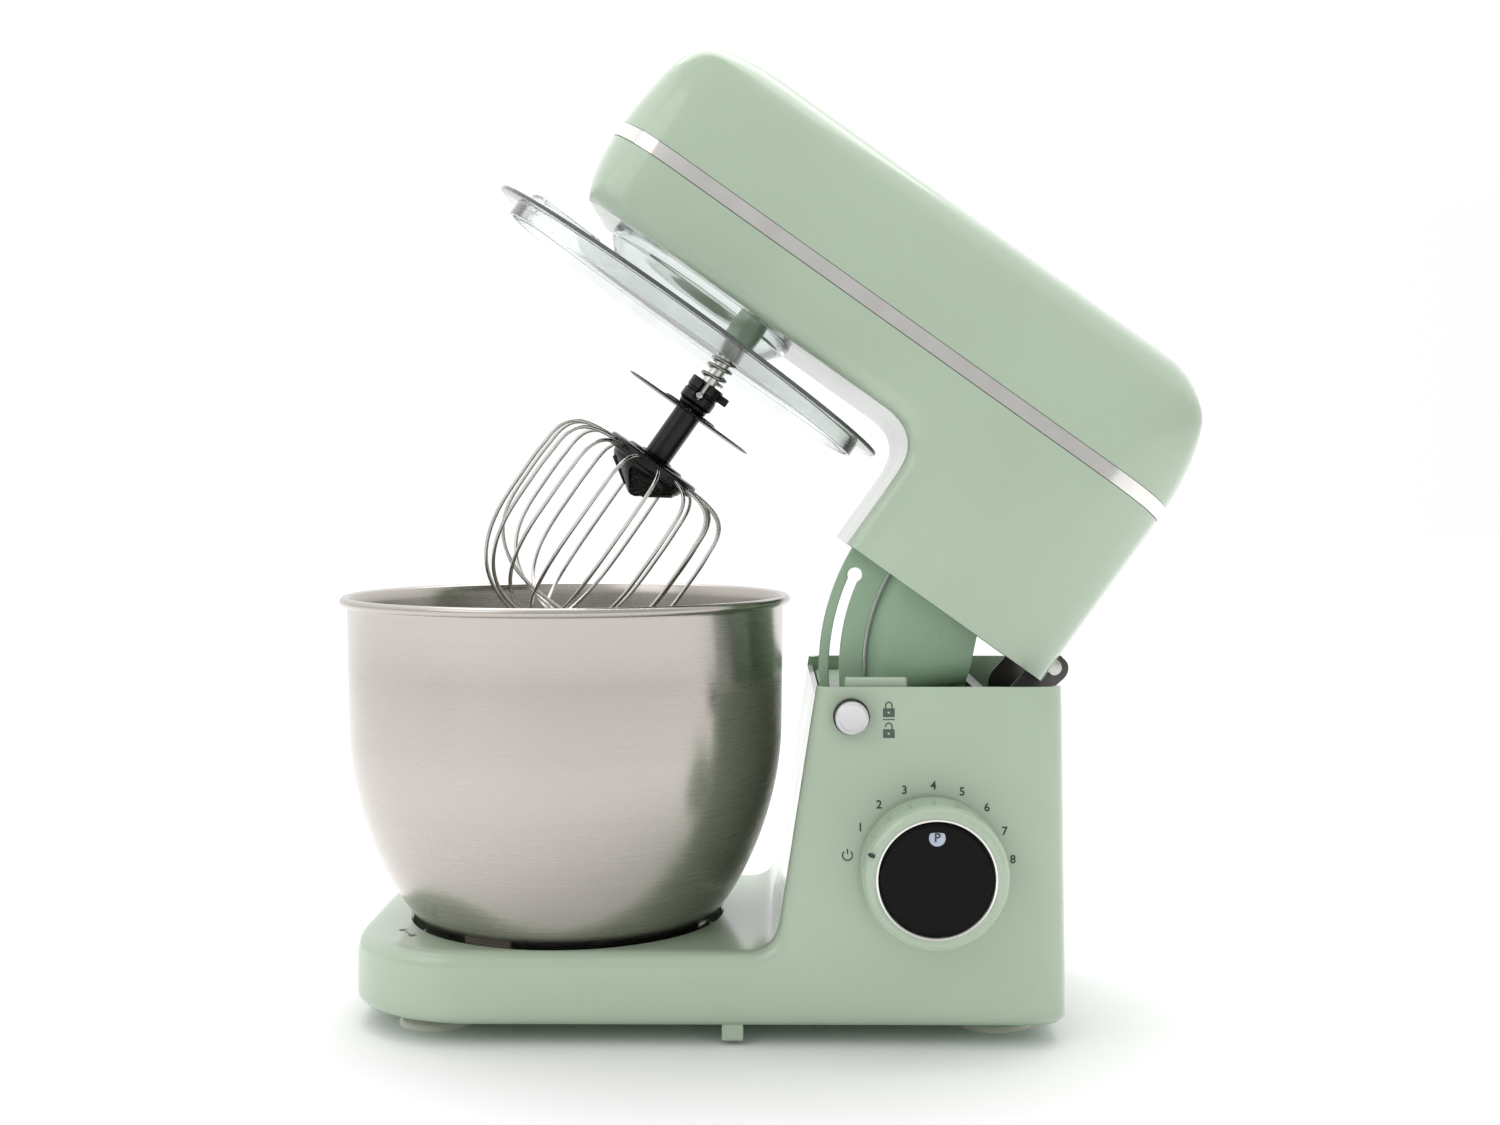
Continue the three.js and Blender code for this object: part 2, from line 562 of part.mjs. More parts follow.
function gearbox() {
  const { x, module: size, ringTeeth, planetTeeth } = DRIVE;
  const cup = [[43.6, 232], [47, 232], [47, 249], [8, 249], [8, 246.5], [43.6, 246.5]];
  piece("gearbox_housing", closed, "steel", turned(cup, { x, sides: 36 }));
  const ringPitch = (size * ringTeeth) / 2;
  const planetPitch = (size * planetTeeth) / 2;
  const inner = gearOutline({
    teeth: ringTeeth,
    root: ringPitch + 2.3,
    tip: ringPitch - 1.3,
    pitch: ringPitch,
    thickness: 2.1,
    phase: Math.PI / ringTeeth,
  });
  const rim = new THREE.Shape();
  rim.absarc(0, 0, 43.2, 0, 2 * Math.PI, false);
  rim.holes.push(new THREE.Path(inner));
  piece("ring_gear", closed, "nylon", alongZ(rim, 233, 241, 16).translate(x, 0, 0));
  const outline = gearOutline({
    teeth: planetTeeth,
    root: planetPitch - 2.2,
    tip: planetPitch + 1.5,
    pitch: planetPitch,
    thickness: 2.3,
  });
  const planet = new THREE.Shape(outline);
  const bore = new THREE.Path();
  bore.absarc(0, 0, 4.3, 0, 2 * Math.PI, true);
  planet.holes.push(bore);
  piece("planet_gear", closed, "nylon", alongZ(planet, 233.5, 240.5, 10).translate(TOOL_X, 0, 0));
}

// The disc that swings the tool shaft round the spindle, with a boss that holds the shaft.
function carrier() {
  const { x } = DRIVE;
  const disc = solid(rod(37, 226.5, 230.5, { x, sides: 32 }));
  const boss = solid(rod(8.5, 214, 227, { x: TOOL_X }));
  const bores = [x, TOOL_X].map((at) => solid(rod(4.3, 200, 240, { x: at })));
  piece("planet_carrier", closed, "mint", cut(join(disc, boss), ...bores));
  piece("carrier_spindle", closed, "steel", rod(4, 226.5, 274, { x, sides: 16 }));
  const [z0, z1] = BELT_Z;
  const pulley = [[4.3, z0 - 2], [12, z0 - 2], [12, z0 + 2], [34, z0 + 2], [34, z0 - 0.5]]
    .concat([[PULLEY.large, z0 - 0.5], [PULLEY.large, z1 + 0.5], [4.3, z1 + 0.5]]);
  piece("large_pulley", closed, "black", turned(pulley, { x, sides: 36 }));
}

// ---------------------------------------------------------------- tool shaft and whisk
function toolShaft() {
  const x = TOOL_X;
  piece("tool_shaft", closed, "steel", cut(solid(rod(4, 177, 243, { x, sides: 20 })), crossBore(2.1)));
  piece("cross_pin", closed, "steel", onY(rod(1.8, -8.6, 8.6, { sides: 14 }), x, 180.5));
  piece("tool_spring", closed, "chrome", wire(new Coil(x, 6.1, 190.6, 212.2, 5.5), 0.85, 50, 4));
}

const crossBore = (r) => solid(onY(rod(r, -12, 12, { sides: 16 }), TOOL_X, 180.5));

// The whisk's black socket: a slotted collar for the cross pin on a long tube.
function whiskCollar() {
  const x = TOOL_X;
  const outside = [[0, 142], [7, 142], [7, 175], [9, 176.5], [9, 188], [4.4, 188], [4.4, 176], [0, 176]];
  const slot = block(x - 2.3, x + 2.3, -12, 12, 178.2, 189);
  const body = solid(turned(outside, { x, sides: 28 }));
  const lug = block(x + 8, x + 13.5, -2.5, 2.5, 183, 187);
  return cut(join(body, lug), slot);
}

function whiskHub() {
  const outline = [[0, 120], [9, 121], [19, 131], [20, 135], [WHISK.hubR, 135.6], [WHISK.hubR, 141], [0, 141.6]];
  return turned(outline, { x: TOOL_X, sides: 28 });
}

const whiskAngles = () => Array.from({ length: WHISK.loops }, (_, i) => (Math.PI * (i + 0.5)) / WHISK.loops);

// One whisk wire: out of the hub, over a round shoulder, down and across under the axis, and back up.
class WhiskLoop extends THREE.Curve {
  constructor(angle, rank) {
    super();
    this.angle = angle;
    this.tip = WHISK.tip + rank * WHISK.nesting;
    this.half = this.halfLoop();
  }
  // Half of the loop as [radius, z] points, from the hub to the tip.
  halfLoop() {
    const { r, widest, hubR } = WHISK;
    const points = [[hubR + GAP, 138.2], [38, 137.6], [44, 135.6], [48.4, 130], [50.2, 122]];
    const steps = 7;
    for (let i = 0; i <= steps; i++) {
      const u = (Math.PI / 2) * (i / steps);
      const flat = 2 / 2.7; // a superellipse, blunter than a circle
      points.push([r * Math.cos(u) ** flat, widest - (widest - this.tip) * Math.sin(u) ** flat]);
    }
    return points;
  }
  getPoint(t, target = new THREE.Vector3()) {
    const side = t < 0.5 ? 1 : -1;
    const along = (t < 0.5 ? t : 1 - t) * 2 * (this.half.length - 1);
    const i = Math.min(Math.floor(along), this.half.length - 2);
    const [[r0, z0], [r1, z1]] = [this.half[i], this.half[i + 1]];
    const radius = side * THREE.MathUtils.lerp(r0, r1, along - i);
    const z = THREE.MathUtils.lerp(z0, z1, along - i);
    return target.set(TOOL_X + radius * Math.cos(this.angle), radius * Math.sin(this.angle), z);
  }
}

function whisk() {
  piece("whisk_collar", closed, "black", whiskCollar());
  piece("whisk_disc", closed, "black", ring(7.3, 38.5, 169.8, 171.4, { x: TOOL_X }));
  piece("whisk_hub", closed, "black", whiskHub());
  whiskAngles().forEach((angle, i) => {
    const loop = new WhiskLoop(angle, i);
    piece("whisk_wire_" + (i + 1), closed, "steel", wire(loop, WHISK.wireR, 2 * (loop.half.length - 1)));
  });
}

// ---------------------------------------------------------------- the whole mixer
base();
hinge();
controls();
bowl();
headShells();
piece("tilt_quadrant", closed, "mintDark", tiltQuadrant());
piece("swivel_guard", closed, "mintDark", swivelGuard());
piece("splash_lid", closed, "clear", splashLid());
piece("lid_collar", closed, "clear", lidCollar());
motor();
chassis();
driveBelt();
gearbox();
carrier();
toolShaft();
whisk();

export default mixer;
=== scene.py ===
import json
import math

import bmesh
import bpy
import numpy as np
from mathutils import Matrix, Vector


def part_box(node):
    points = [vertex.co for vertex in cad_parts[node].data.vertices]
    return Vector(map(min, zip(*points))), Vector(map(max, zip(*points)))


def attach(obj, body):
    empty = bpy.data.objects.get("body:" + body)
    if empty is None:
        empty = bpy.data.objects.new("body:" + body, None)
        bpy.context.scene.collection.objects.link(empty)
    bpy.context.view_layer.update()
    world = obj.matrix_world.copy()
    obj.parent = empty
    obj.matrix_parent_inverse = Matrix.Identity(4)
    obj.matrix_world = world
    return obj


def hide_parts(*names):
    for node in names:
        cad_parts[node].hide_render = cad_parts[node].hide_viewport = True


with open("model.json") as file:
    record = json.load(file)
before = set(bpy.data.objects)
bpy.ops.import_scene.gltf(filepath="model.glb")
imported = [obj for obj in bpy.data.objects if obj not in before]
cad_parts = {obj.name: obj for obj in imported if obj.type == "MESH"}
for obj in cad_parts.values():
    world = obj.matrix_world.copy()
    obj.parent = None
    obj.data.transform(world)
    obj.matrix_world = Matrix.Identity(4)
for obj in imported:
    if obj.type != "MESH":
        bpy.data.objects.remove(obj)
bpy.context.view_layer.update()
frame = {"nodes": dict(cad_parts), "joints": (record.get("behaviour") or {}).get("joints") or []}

MM = 0.001


def centre(node):
    low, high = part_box(node)
    return (low + high) / 2 / MM


def joint(name):
    return next(j for j in frame["joints"] if j["name"] == name)


# ---------------------------------------------------------------- driving sizes, in millimetres
BOWL_X = -100
ZERO = centre("bowl_shell").x - BOWL_X  # where the drawing's zero lies in the row's frame
TILT = math.radians(-joint("head_tilt")["range_deg"][0])
HINGE = Vector((centre("hinge_pin").x - ZERO, 0, centre("hinge_pin").z))
TILTED_BODIES = ("head", "carrier", "tool", "whisk")
WALL = 2.5

TRAY = {"front": -202, "rear": 143, "bottom": 10, "top": 44, "half_width": 86, "front_r": 61, "rear_r": 18}
COLUMN = {"foot": 7, "front": 24, "rear": 140, "rim": 167, "fillet": 15, "top_half_width": 78}
RECESS_R, RECESS_FLOOR = 78, 28
PLATE_TOP = 159.5
HEAD = {"front": -185, "rear": 142, "top": 326, "underside": 225, "neck": 22, "bottom": 163, "half_width": 70}
STRIP = (257.3, 264.2)
BOWL_RIM = (112.7, 205.5)  # radius, height
LID_X, LID_Z, LID_R, LID_THICK = -103, 206.2, 114, 1.8
SKIRT_R, SKIRT_BOTTOM = 103.8, 199
COLLAR_X = -108
DRIVE_X, TOOL_X = -100, -78
BUTTON = Vector((39.8, -89, 153.5))
LOCK_PIN = Vector((35.1, -72, 152.6))
KNOB = Vector((76.8, -110, 84))
KNOB_R, KNOB_BACK = 33.5, -86.2
FOOT_R, FOOT_HEIGHT = 18.5, 9.7
QUADRANT = {"outer": 114, "inner": 93, "slot": 106.7, "slot_width": 5, "y": -40, "thickness": 6}
GUARD = {"outer": 92, "inner": 40, "half_width": 48}
WHISK = {"loops": 8, "wire_r": 0.95, "r": 51, "widest": 95, "tip": 36.8, "nesting": 2.15, "hub_r": 25.5}


# ---------------------------------------------------------------- placing
def placement(body):
    shift = Matrix.Translation((ZERO, 0, 0))
    if body not in TILTED_BODIES:
        return shift
    return shift @ Matrix.Translation(HINGE) @ Matrix.Rotation(TILT, 4, "Y") @ Matrix.Translation(-HINGE)


def linked(name, data):
    made = bpy.data.objects.new(name, data)
    bpy.context.scene.collection.objects.link(made)
    return made


def from_bmesh(name, bm):
    mesh = bpy.data.meshes.new(name)
    bm.to_mesh(mesh)
    bm.free()
    return linked(name, mesh)


def mesh_object(name, verts, faces):
    mesh = bpy.data.meshes.new(name)
    mesh.from_pydata([tuple(v) for v in verts], [], [tuple(f) for f in faces])
    mesh.update()
    return linked(name, mesh)


def drop(made):
    bpy.data.objects.remove(made, do_unlink=True)


def settled(made):
    """Takes an object's modifiers, curve or text into a plain mesh of the same name."""
    bpy.context.view_layer.update()
    graph = bpy.context.evaluated_depsgraph_get()
    mesh = bpy.data.meshes.new_from_object(made.evaluated_get(graph), depsgraph=graph)
    mesh.transform(made.matrix_world)
    name = made.name
    drop(made)
    mesh.name = name
    mesh.materials.clear()
    return linked(name, mesh)


def place(made, body, material, replaces=(), sharp=38):
    """Puts a piece drawn in millimetres into the row's frame, on its body, in its material."""
    mesh = made.data
    mesh.transform(Matrix.Scale(MM, 4) @ placement(body))
    mesh.polygons.foreach_set("use_smooth", [True] * len(mesh.polygons))
    mesh.set_sharp_from_angle(angle=math.radians(sharp))
    mesh.materials.clear()
    mesh.materials.append(MATERIALS[material])
    mesh.update()
    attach(made, body)
    if replaces:
        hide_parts(*replaces)
    return made


# ---------------------------------------------------------------- outlines
def bezier(a, b, c, d, steps=16):
    t = np.linspace(0, 1, steps + 1)[1:, None]
    a, b, c, d = (np.array(p, float) for p in (a, b, c, d))
    return [*((1 - t) ** 3 * a + 3 * (1 - t) ** 2 * t * b + 3 * (1 - t) * t**2 * c + t**3 * d)]


def quadratic(a, b, c, steps=12):
    a, b, c = (np.array(p, float) for p in (a, b, c))
    return bezier(a, a + (b - a) * 2 / 3, c + (b - c) * 2 / 3, c, steps)


def arc(cx, cy, r, start, end, steps=24):
    angles = np.radians(np.linspace(start, end, steps + 1))
    return [(cx + r * math.cos(a), cy + r * math.sin(a)) for a in angles]


def sector(inner, outer, start, end, steps=40):
    return arc(HINGE.x, HINGE.z, outer, start, end, steps) + arc(HINGE.x, HINGE.z, inner, end, start, steps)


def eased(points, radius, steps=4, closed=True):
    """An outline with each corner taken off by a short curve that starts radius away from it."""
    made = []
    count = len(points)
    for i, corner in enumerate(points):
        corner = np.array(corner, float)
        if not closed and i in (0, count - 1):
            made.append(tuple(corner))
            continue
        before, after = (np.array(points[j], float) for j in (i - 1, (i + 1) % count))
        ends = []
        for other in (before, after):
            length = np.linalg.norm(other - corner)
            ends.append(corner + (other - corner) * min(0.45, radius / max(length, 1e-6)))
        made.append(tuple(ends[0]))
        made.extend(tuple(p) for p in quadratic(ends[0], corner, ends[1], steps))
    return made


# ---------------------------------------------------------------- turned, flat and wire pieces
def turned(name, profile, x=0, y=0, sides=96, along_y=None, ease=None):
    """A solid turned about a vertical axis at (x, y) from [radius, height] points that close on themselves or
    start and end on the axis. With along_y the axis runs along Y through (x, along_y), heights becoming y.
    Ease is the radius and steps of the curve that takes off each corner."""
    on_axis = profile[0][0] < 1e-6 and profile[-1][0] < 1e-6
    if ease:
        profile = eased(profile, *ease, closed=not on_axis)
    bm = bmesh.new()
    rows = []
    for r, z in profile:
        angles = [2 * math.pi * i / sides for i in range(sides)]
        rows.append([bm.verts.new((r * math.cos(a), r * math.sin(a), z)) for a in angles])
    pairs = list(zip(rows, rows[1:])) + ([] if on_axis else [(rows[-1], rows[0])])
    for low, high in pairs:
        for i in range(sides):
            j = (i + 1) % sides
            bm.faces.new((low[i], low[j], high[j], high[i]))
    bmesh.ops.remove_doubles(bm, verts=bm.verts[:], dist=1e-4)
    bmesh.ops.dissolve_degenerate(bm, dist=1e-4, edges=bm.edges[:])
    bmesh.ops.recalc_face_normals(bm, faces=bm.faces[:])
    if along_y is not None:
        bmesh.ops.transform(bm, matrix=Matrix.Rotation(-math.pi / 2, 4, "X"), verts=bm.verts[:])
        bmesh.ops.translate(bm, vec=(x, 0, along_y), verts=bm.verts[:])
    else:
        bmesh.ops.translate(bm, vec=(x, y, 0), verts=bm.verts[:])
    return from_bmesh(name, bm)


PLANES = {
    "XY": Matrix.Identity(4),
    "XZ": Matrix.Rotation(math.pi / 2, 4, "X"),
    "YZ": Matrix(((0, 0, 1, 0), (1, 0, 0, 0), (0, 1, 0, 0), (0, 0, 0, 1))),
}


def plate(name, outlines, plane, middle, thickness, bevel=0.4):
    """A flat piece with eased edges: an outline and any holes in a plane, its thickness centred on middle."""
    curve = bpy.data.curves.new(name, "CURVE")
    curve.dimensions = "2D"
    curve.fill_mode = "BOTH"
    curve.bevel_depth = bevel
    curve.bevel_resolution = 2
    curve.offset = -bevel
    curve.extrude = thickness / 2 - bevel
    for outline in outlines:
        spline = curve.splines.new("POLY")
        spline.points.add(len(outline) - 1)
        for point, (a, b) in zip(spline.points, outline):
            point.co = (a, b, 0, 1)
        spline.use_cyclic_u = True
    made = linked(name, curve)
    out = {"XY": (0, 0, middle), "XZ": (0, middle, 0), "YZ": (middle, 0, 0)}[plane]
    made.matrix_world = Matrix.Translation(out) @ PLANES[plane]
    made = settled(made)
    bm = bmesh.new()
    bm.from_mesh(made.data)
    bmesh.ops.remove_doubles(bm, verts=bm.verts[:], dist=1e-3)
    bm.to_mesh(made.data)
    bm.free()
    return made


def wire(name, points, radius):
    curve = bpy.data.curves.new(name, "CURVE")
    curve.dimensions = "3D"
    curve.bevel_depth = radius
    curve.bevel_resolution = 4
    curve.use_fill_caps = True
    spline = curve.splines.new("POLY")
    spline.points.add(len(points) - 1)
    for point, co in zip(spline.points, points):
        point.co = (*co, 1)
    return settled(linked(name, curve))


def coil(name, r, wire_r, low, high, turns):
    """A spring about the Z axis whose last turns at each end lie closed."""
    points = []
    steps = int(turns * 28)
    ends = 0.75  # how soon the coils open out
    for i in range(steps + 1):
        t = i / steps
        angle = 2 * math.pi * turns * t
        near_end = min(1, ends * min(t, 1 - t) * turns)
        level = t if near_end >= 1 else t * near_end + round(t) * (1 - near_end)
        points.append((r * math.cos(angle), r * math.sin(angle), low + (high - low) * level))
    return wire(name, points, wire_r)


def block(name, low, high, bevel=0.0):
    """A box between two corners, with eased edges."""
    bm = bmesh.new()
    size = Vector(high) - Vector(low)
    bmesh.ops.create_cube(bm, size=1)
    bmesh.ops.scale(bm, vec=size, verts=bm.verts[:])
    bmesh.ops.translate(bm, vec=(Vector(high) + Vector(low)) / 2, verts=bm.verts[:])
    if bevel:
        bmesh.ops.bevel(bm, geom=bm.edges[:], offset=bevel, segments=3, profile=0.5, affect="EDGES")
    return from_bmesh(name, bm)


def joined(name, pieces):
    """Several separate solids as one mesh."""
    bm = bmesh.new()
    for made in pieces:
        bm.from_mesh(made.data)
        drop(made)
    return from_bmesh(name, bm)


def boolean(made, tools):
    """Cuts tools out of a piece."""
    for tool in tools:
        modifier = made.modifiers.new("cut", "BOOLEAN")
        modifier.operation = "DIFFERENCE"
        modifier.solver = "EXACT"
        modifier.object = tool
    result = settled(made)
    for tool in tools:
        drop(tool)
    return result


# ---------------------------------------------------------------- moulded shells
def outline_distance(outline, a, b):
    """How far points lie outside a closed outline, negative inside it."""
    shape = np.broadcast_shapes(a.shape, b.shape)
    nearest = np.full(shape, 1e12)
    inside = np.zeros(shape, bool)
    points = np.array(outline, float)
    for (x0, y0), (x1, y1) in zip(points, np.roll(points, -1, axis=0)):
        dx, dy = x1 - x0, y1 - y0
        length = dx * dx + dy * dy
        if length < 1e-12:
            continue
        t = np.clip(((a - x0) * dx + (b - y0) * dy) / length, 0, 1)
        nearest = np.minimum(nearest, (a - x0 - dx * t) ** 2 + (b - y0 - dy * t) ** 2)
        if dy:
            crosses = (y0 <= b) != (y1 <= b)
            inside ^= crosses & (a - x0 < dx * (b - y0) / dy)
    return np.where(inside, -1, 1) * np.sqrt(nearest)


def plan_distance(x, y, x0, x1, half_width, front_r, rear_r):
    """How far points lie outside a rounded rectangle with one radius at each end."""
    middle = (x0 + x1) / 2
    r = np.where(x < middle, front_r, rear_r)
    over_x = np.abs(x - middle) - (x1 - x0) / 2 + r
    over_y = np.abs(y) - half_width + r
    outside = np.hypot(np.maximum(over_x, 0), np.maximum(over_y, 0))
    return outside + np.minimum(np.maximum(over_x, over_y), 0) - r


def held_in_common(radius, *distances):
    """The form that lies inside all of several forms, with the edges between them rounded."""
    over = sum(np.maximum(d + radius, 0) ** 2 for d in distances)
    deepest = distances[0]
    for d in distances[1:]:
        deepest = np.maximum(deepest, d)
    return np.minimum(deepest, -radius) + np.sqrt(over)


def net_points(form, low, high, step):
    """The cells of a grid that a form's surface passes through, and the quads that join them."""
    low = np.array(low, float)
    axes = [np.arange(a, b + step, step) for a, b in zip(low, high)]
    inside = form(axes[0][:, None, None], axes[1][None, :, None], axes[2][None, None, :]) < 0
    n = [s - 1 for s in inside.shape]
    corners = sum(
        inside[i : n[0] + i, j : n[1] + j, k : n[2] + k].astype(int)
        for i in (0, 1)
        for j in (0, 1)
        for k in (0, 1)
    )
    crossed = (corners > 0) & (corners < 8)
    number = np.full(crossed.shape, -1)
    number[crossed] = np.arange(crossed.sum())
    points = low + (np.argwhere(crossed) + 0.5) * step
    quads = []
    for axis in range(3):
        u, v = (axis + 1) % 3, (axis + 2) % 3
        start = np.take(inside, range(n[axis]), axis)
        end = np.take(inside, range(1, n[axis] + 1), axis)
        edges = np.argwhere(start != end)
        leaving = start[tuple(edges.T)]
        cells = []
        for du, dv in ((-1, -1), (0, -1), (0, 0), (-1, 0)):
            at = edges.copy()
            at[:, u] += du
            at[:, v] += dv
            cells.append(number[tuple(at.T)])
        cells = np.stack(cells, axis=1)
        cells[~leaving] = cells[~leaving][:, ::-1]
        quads.append(cells)
    return points, np.concatenate(quads)


def onto(form, points, rounds):
    """Moves points straight onto a form's surface."""
    h = 0.02
    for _ in range(rounds):
        x, y, z = points.T
        value = form(x, y, z)
        slope = np.stack([form(x + h, y, z), form(x, y + h, z), form(x, y, z + h)]) - value
        slope /= h
        points = points - (slope * value / np.maximum((slope**2).sum(0), 0.2)).T
    return points


def moulded(name, form, low, high, step=2.6):
    """A closed surface over a form, its points spread evenly."""
    step = step
    points, quads = net_points(form, low, high, step)
    points = onto(form, points, 3)
    a = quads.ravel()
    b = np.roll(quads, -1, axis=1).ravel()
    degree = np.bincount(a, minlength=len(points)) + np.bincount(b, minlength=len(points))
    for _ in range(4):
        total = np.stack(
            [
                np.bincount(a, weights=points[b, k], minlength=len(points))
                + np.bincount(b, weights=points[a, k], minlength=len(points))
                for k in range(3)
            ],
            axis=1,
        )
        points = onto(form, (points + total / degree[:, None]) / 2, 1)
    points = onto(form, points, 2)
    return mesh_object(name, points, quads.tolist())


def sliced(made, point, normal):
    """Keeps what lies on the side of a plane that its normal points away from."""
    bm = bmesh.new()
    bm.from_mesh(made.data)
    everything = bm.verts[:] + bm.edges[:] + bm.faces[:]
    bmesh.ops.bisect_plane(bm, geom=everything, plane_co=point, plane_no=normal, clear_outer=True)
    bm.to_mesh(made.data)
    bm.free()
    return made


def copied(made, name):
    return linked(name, made.data.copy())


def thickened(made, inward):
    modifier = made.modifiers.new("wall", "SOLIDIFY")
    modifier.thickness = inward
    modifier.offset = -1
    return settled(made)


# ---------------------------------------------------------------- materials
def principled(name, colour, roughness, metallic=0.0, **sockets):
    material = bpy.data.materials.new(name)
    material.use_nodes = True
    shader = material.node_tree.nodes["Principled BSDF"]
    shader.inputs["Base Color"].default_value = (*colour, 1)
    shader.inputs["Roughness"].default_value = roughness
    shader.inputs["Metallic"].default_value = metallic
    for socket, value in sockets.items():
        shader.inputs[socket.replace("_", " ")].default_value = value
    return material


def shader_node(tree, kind, **inputs):
    made = tree.nodes.new(kind)
    for socket, value in inputs.items():
        made.inputs[socket.replace("_", " ")].default_value = value
    return made


def texture(material, kind, stretch=(1, 1, 1), **inputs):
    """A texture laid in the piece's own frame, stretched along its axes."""
    tree, links = material.node_tree, material.node_tree.links
    where = tree.nodes.new("ShaderNodeTexCoord")
    mapping = shader_node(tree, "ShaderNodeMapping", Scale=stretch)
    made = shader_node(tree, kind, **inputs)
    links.new(where.outputs["Object"], mapping.inputs["Vector"])
    links.new(mapping.outputs["Vector"], made.inputs["Vector"])
    return made.outputs[0]


def noise(material, scale, detail=2.0, stretch=(1, 1, 1)):
    return texture(material, "ShaderNodeTexNoise", stretch, Scale=scale, Detail=detail)


def mapped(tree, value, start, end, low, high):
    """A value brought from one range to another."""
    node = shader_node(tree, "ShaderNodeMapRange", From_Min=start, From_Max=end, To_Min=low, To_Max=high)
    tree.links.new(value, node.inputs["Value"])
    return node.outputs["Result"]


def ranged(material, value, low, high, start=0.3, end=0.7):
    """A texture's value brought to a range."""
    return mapped(material.node_tree, value, start, end, low, high)


def mixed(material, amount, first, second):
    node = material.node_tree.nodes.new("ShaderNodeMix")
    node.data_type = "RGBA"
    material.node_tree.links.new(amount, node.inputs["Factor"])
    node.inputs["A"].default_value = (*first, 1)
    node.inputs["B"].default_value = (*second, 1)
    return node.outputs["Result"]


def feed(material, socket, value):
    material.node_tree.links.new(value, material.node_tree.nodes["Principled BSDF"].inputs[socket])


def bumped(material, height, strength, distance):
    node = shader_node(material.node_tree, "ShaderNodeBump", Strength=strength, Distance=distance)
    material.node_tree.links.new(height, node.inputs["Height"])
    feed(material, "Normal", node.outputs["Normal"])


def linear(r, g, b):
    """A colour given as it looks on screen, from 0 to 255."""
    return tuple(((c / 255 + 0.055) / 1.055) ** 2.4 if c > 10 else c / 255 / 12.92 for c in (r, g, b))


def varied(material, colour, amount, scale):
    """Gives the base colour a faint, broad mottle."""
    tone = noise(material, scale, 4.0)
    light = tuple(min(1, c * (1 + amount)) for c in colour)
    dark = tuple(c * (1 - amount) for c in colour)
    feed(material, "Base Color", mixed(material, ranged(material, tone, 0, 1), dark, light))


def plastic(name, colour, roughness, grain=0.02, coat=0.0, specular=0.5):
    """Injection-moulded plastic: faint mottle, uneven gloss and a fine skin."""
    finish = {"Coat_Weight": coat, "Coat_Roughness": 0.05, "Specular_IOR_Level": specular}
    material = principled(name, colour, roughness, **finish)
    varied(material, colour, 0.03, 14.0)
    smears = noise(material, 30.0, 5.0)
    feed(material, "Roughness", ranged(material, smears, roughness * 0.85, roughness * 1.2))
    skin = noise(material, 900.0, 3.0)
    bumped(material, skin, grain, 0.0002)
    return material


def brushed_steel():
    """Spun sheet steel, brushed round the bowl in fine level lines."""
    colour = linear(190, 184, 178)
    material = principled("bowl_steel", colour, 0.22, 1.0, Anisotropic=0.6, Anisotropic_Rotation=0.25)
    tangent = material.node_tree.nodes.new("ShaderNodeTangent")
    tangent.direction_type = "RADIAL"
    tangent.axis = "Z"
    feed(material, "Tangent", tangent.outputs["Tangent"])
    lines = noise(material, 1.0, 6.0, stretch=(6, 6, 2600))
    dark = tuple(c * 0.92 for c in colour)
    feed(material, "Base Color", mixed(material, ranged(material, lines, 0, 1), dark, colour))
    feed(material, "Roughness", ranged(material, lines, 0.2, 0.3))
    bumped(material, lines, 0.02, 0.0001)
    return material


def bare_steel(name, colour, roughness, scale=420.0):
    """Drawn or turned steel with faint scratches."""
    material = principled(name, colour, roughness, 1.0)
    scratches = noise(material, scale, 6.0, stretch=(1, 1, 7))
    feed(material, "Roughness", ranged(material, scratches, roughness * 0.7, roughness * 1.35))
    varied(material, colour, 0.06, 60.0)
    bumped(material, scratches, 0.05, 0.0001)
    return material


def cast_metal():
    material = principled("cast", linear(150, 150, 150), 0.5, 0.9)
    grain = texture(material, "ShaderNodeTexVoronoi", Scale=900.0)
    feed(material, "Roughness", ranged(material, grain, 0.42, 0.62, 0, 1))
    bumped(material, grain, 0.25, 0.0002)
    return material


def clear_plastic(name, colour, clearness):
    """Clear moulded plastic with faint flow lines and fine scratches."""
    material = principled(name, colour, 0.03, 0.0, Transmission_Weight=clearness, IOR=1.47)
    scratches = noise(material, 160.0, 5.0, stretch=(1, 4, 1))
    feed(material, "Roughness", ranged(material, scratches, 0.015, 0.07))
    flow = noise(material, 22.0, 2.0)
    bumped(material, flow, 0.03, 0.001)
    return material


def milky_rubber():
    """Translucent silicone."""
    colour = linear(240, 238, 228)
    material = principled("foot", colour, 0.32, 0.0, Transmission_Weight=0.18, IOR=1.41)
    cloud = noise(material, 70.0, 4.0)
    feed(material, "Roughness", ranged(material, cloud, 0.26, 0.42))
    bumped(material, cloud, 0.05, 0.0005)
    return material


def rubber():
    colour = linear(34, 34, 35)
    material = principled("rubber", colour, 0.75)
    varied(material, colour, 0.2, 80.0)
    grain = noise(material, 1500.0, 2.0)
    bumped(material, grain, 0.25, 0.0003)
    return material


def winding():
    """Varnished copper wire."""
    colour = linear(170, 98, 52)
    material = principled("winding", colour, 0.35, 0.85)
    turns = texture(material, "ShaderNodeTexWave", Scale=260.0, Distortion=1.5)
    feed(material, "Base Color", mixed(material, turns, tuple(c * 0.5 for c in colour), colour))
    bumped(material, turns, 0.5, 0.0006)
    return material


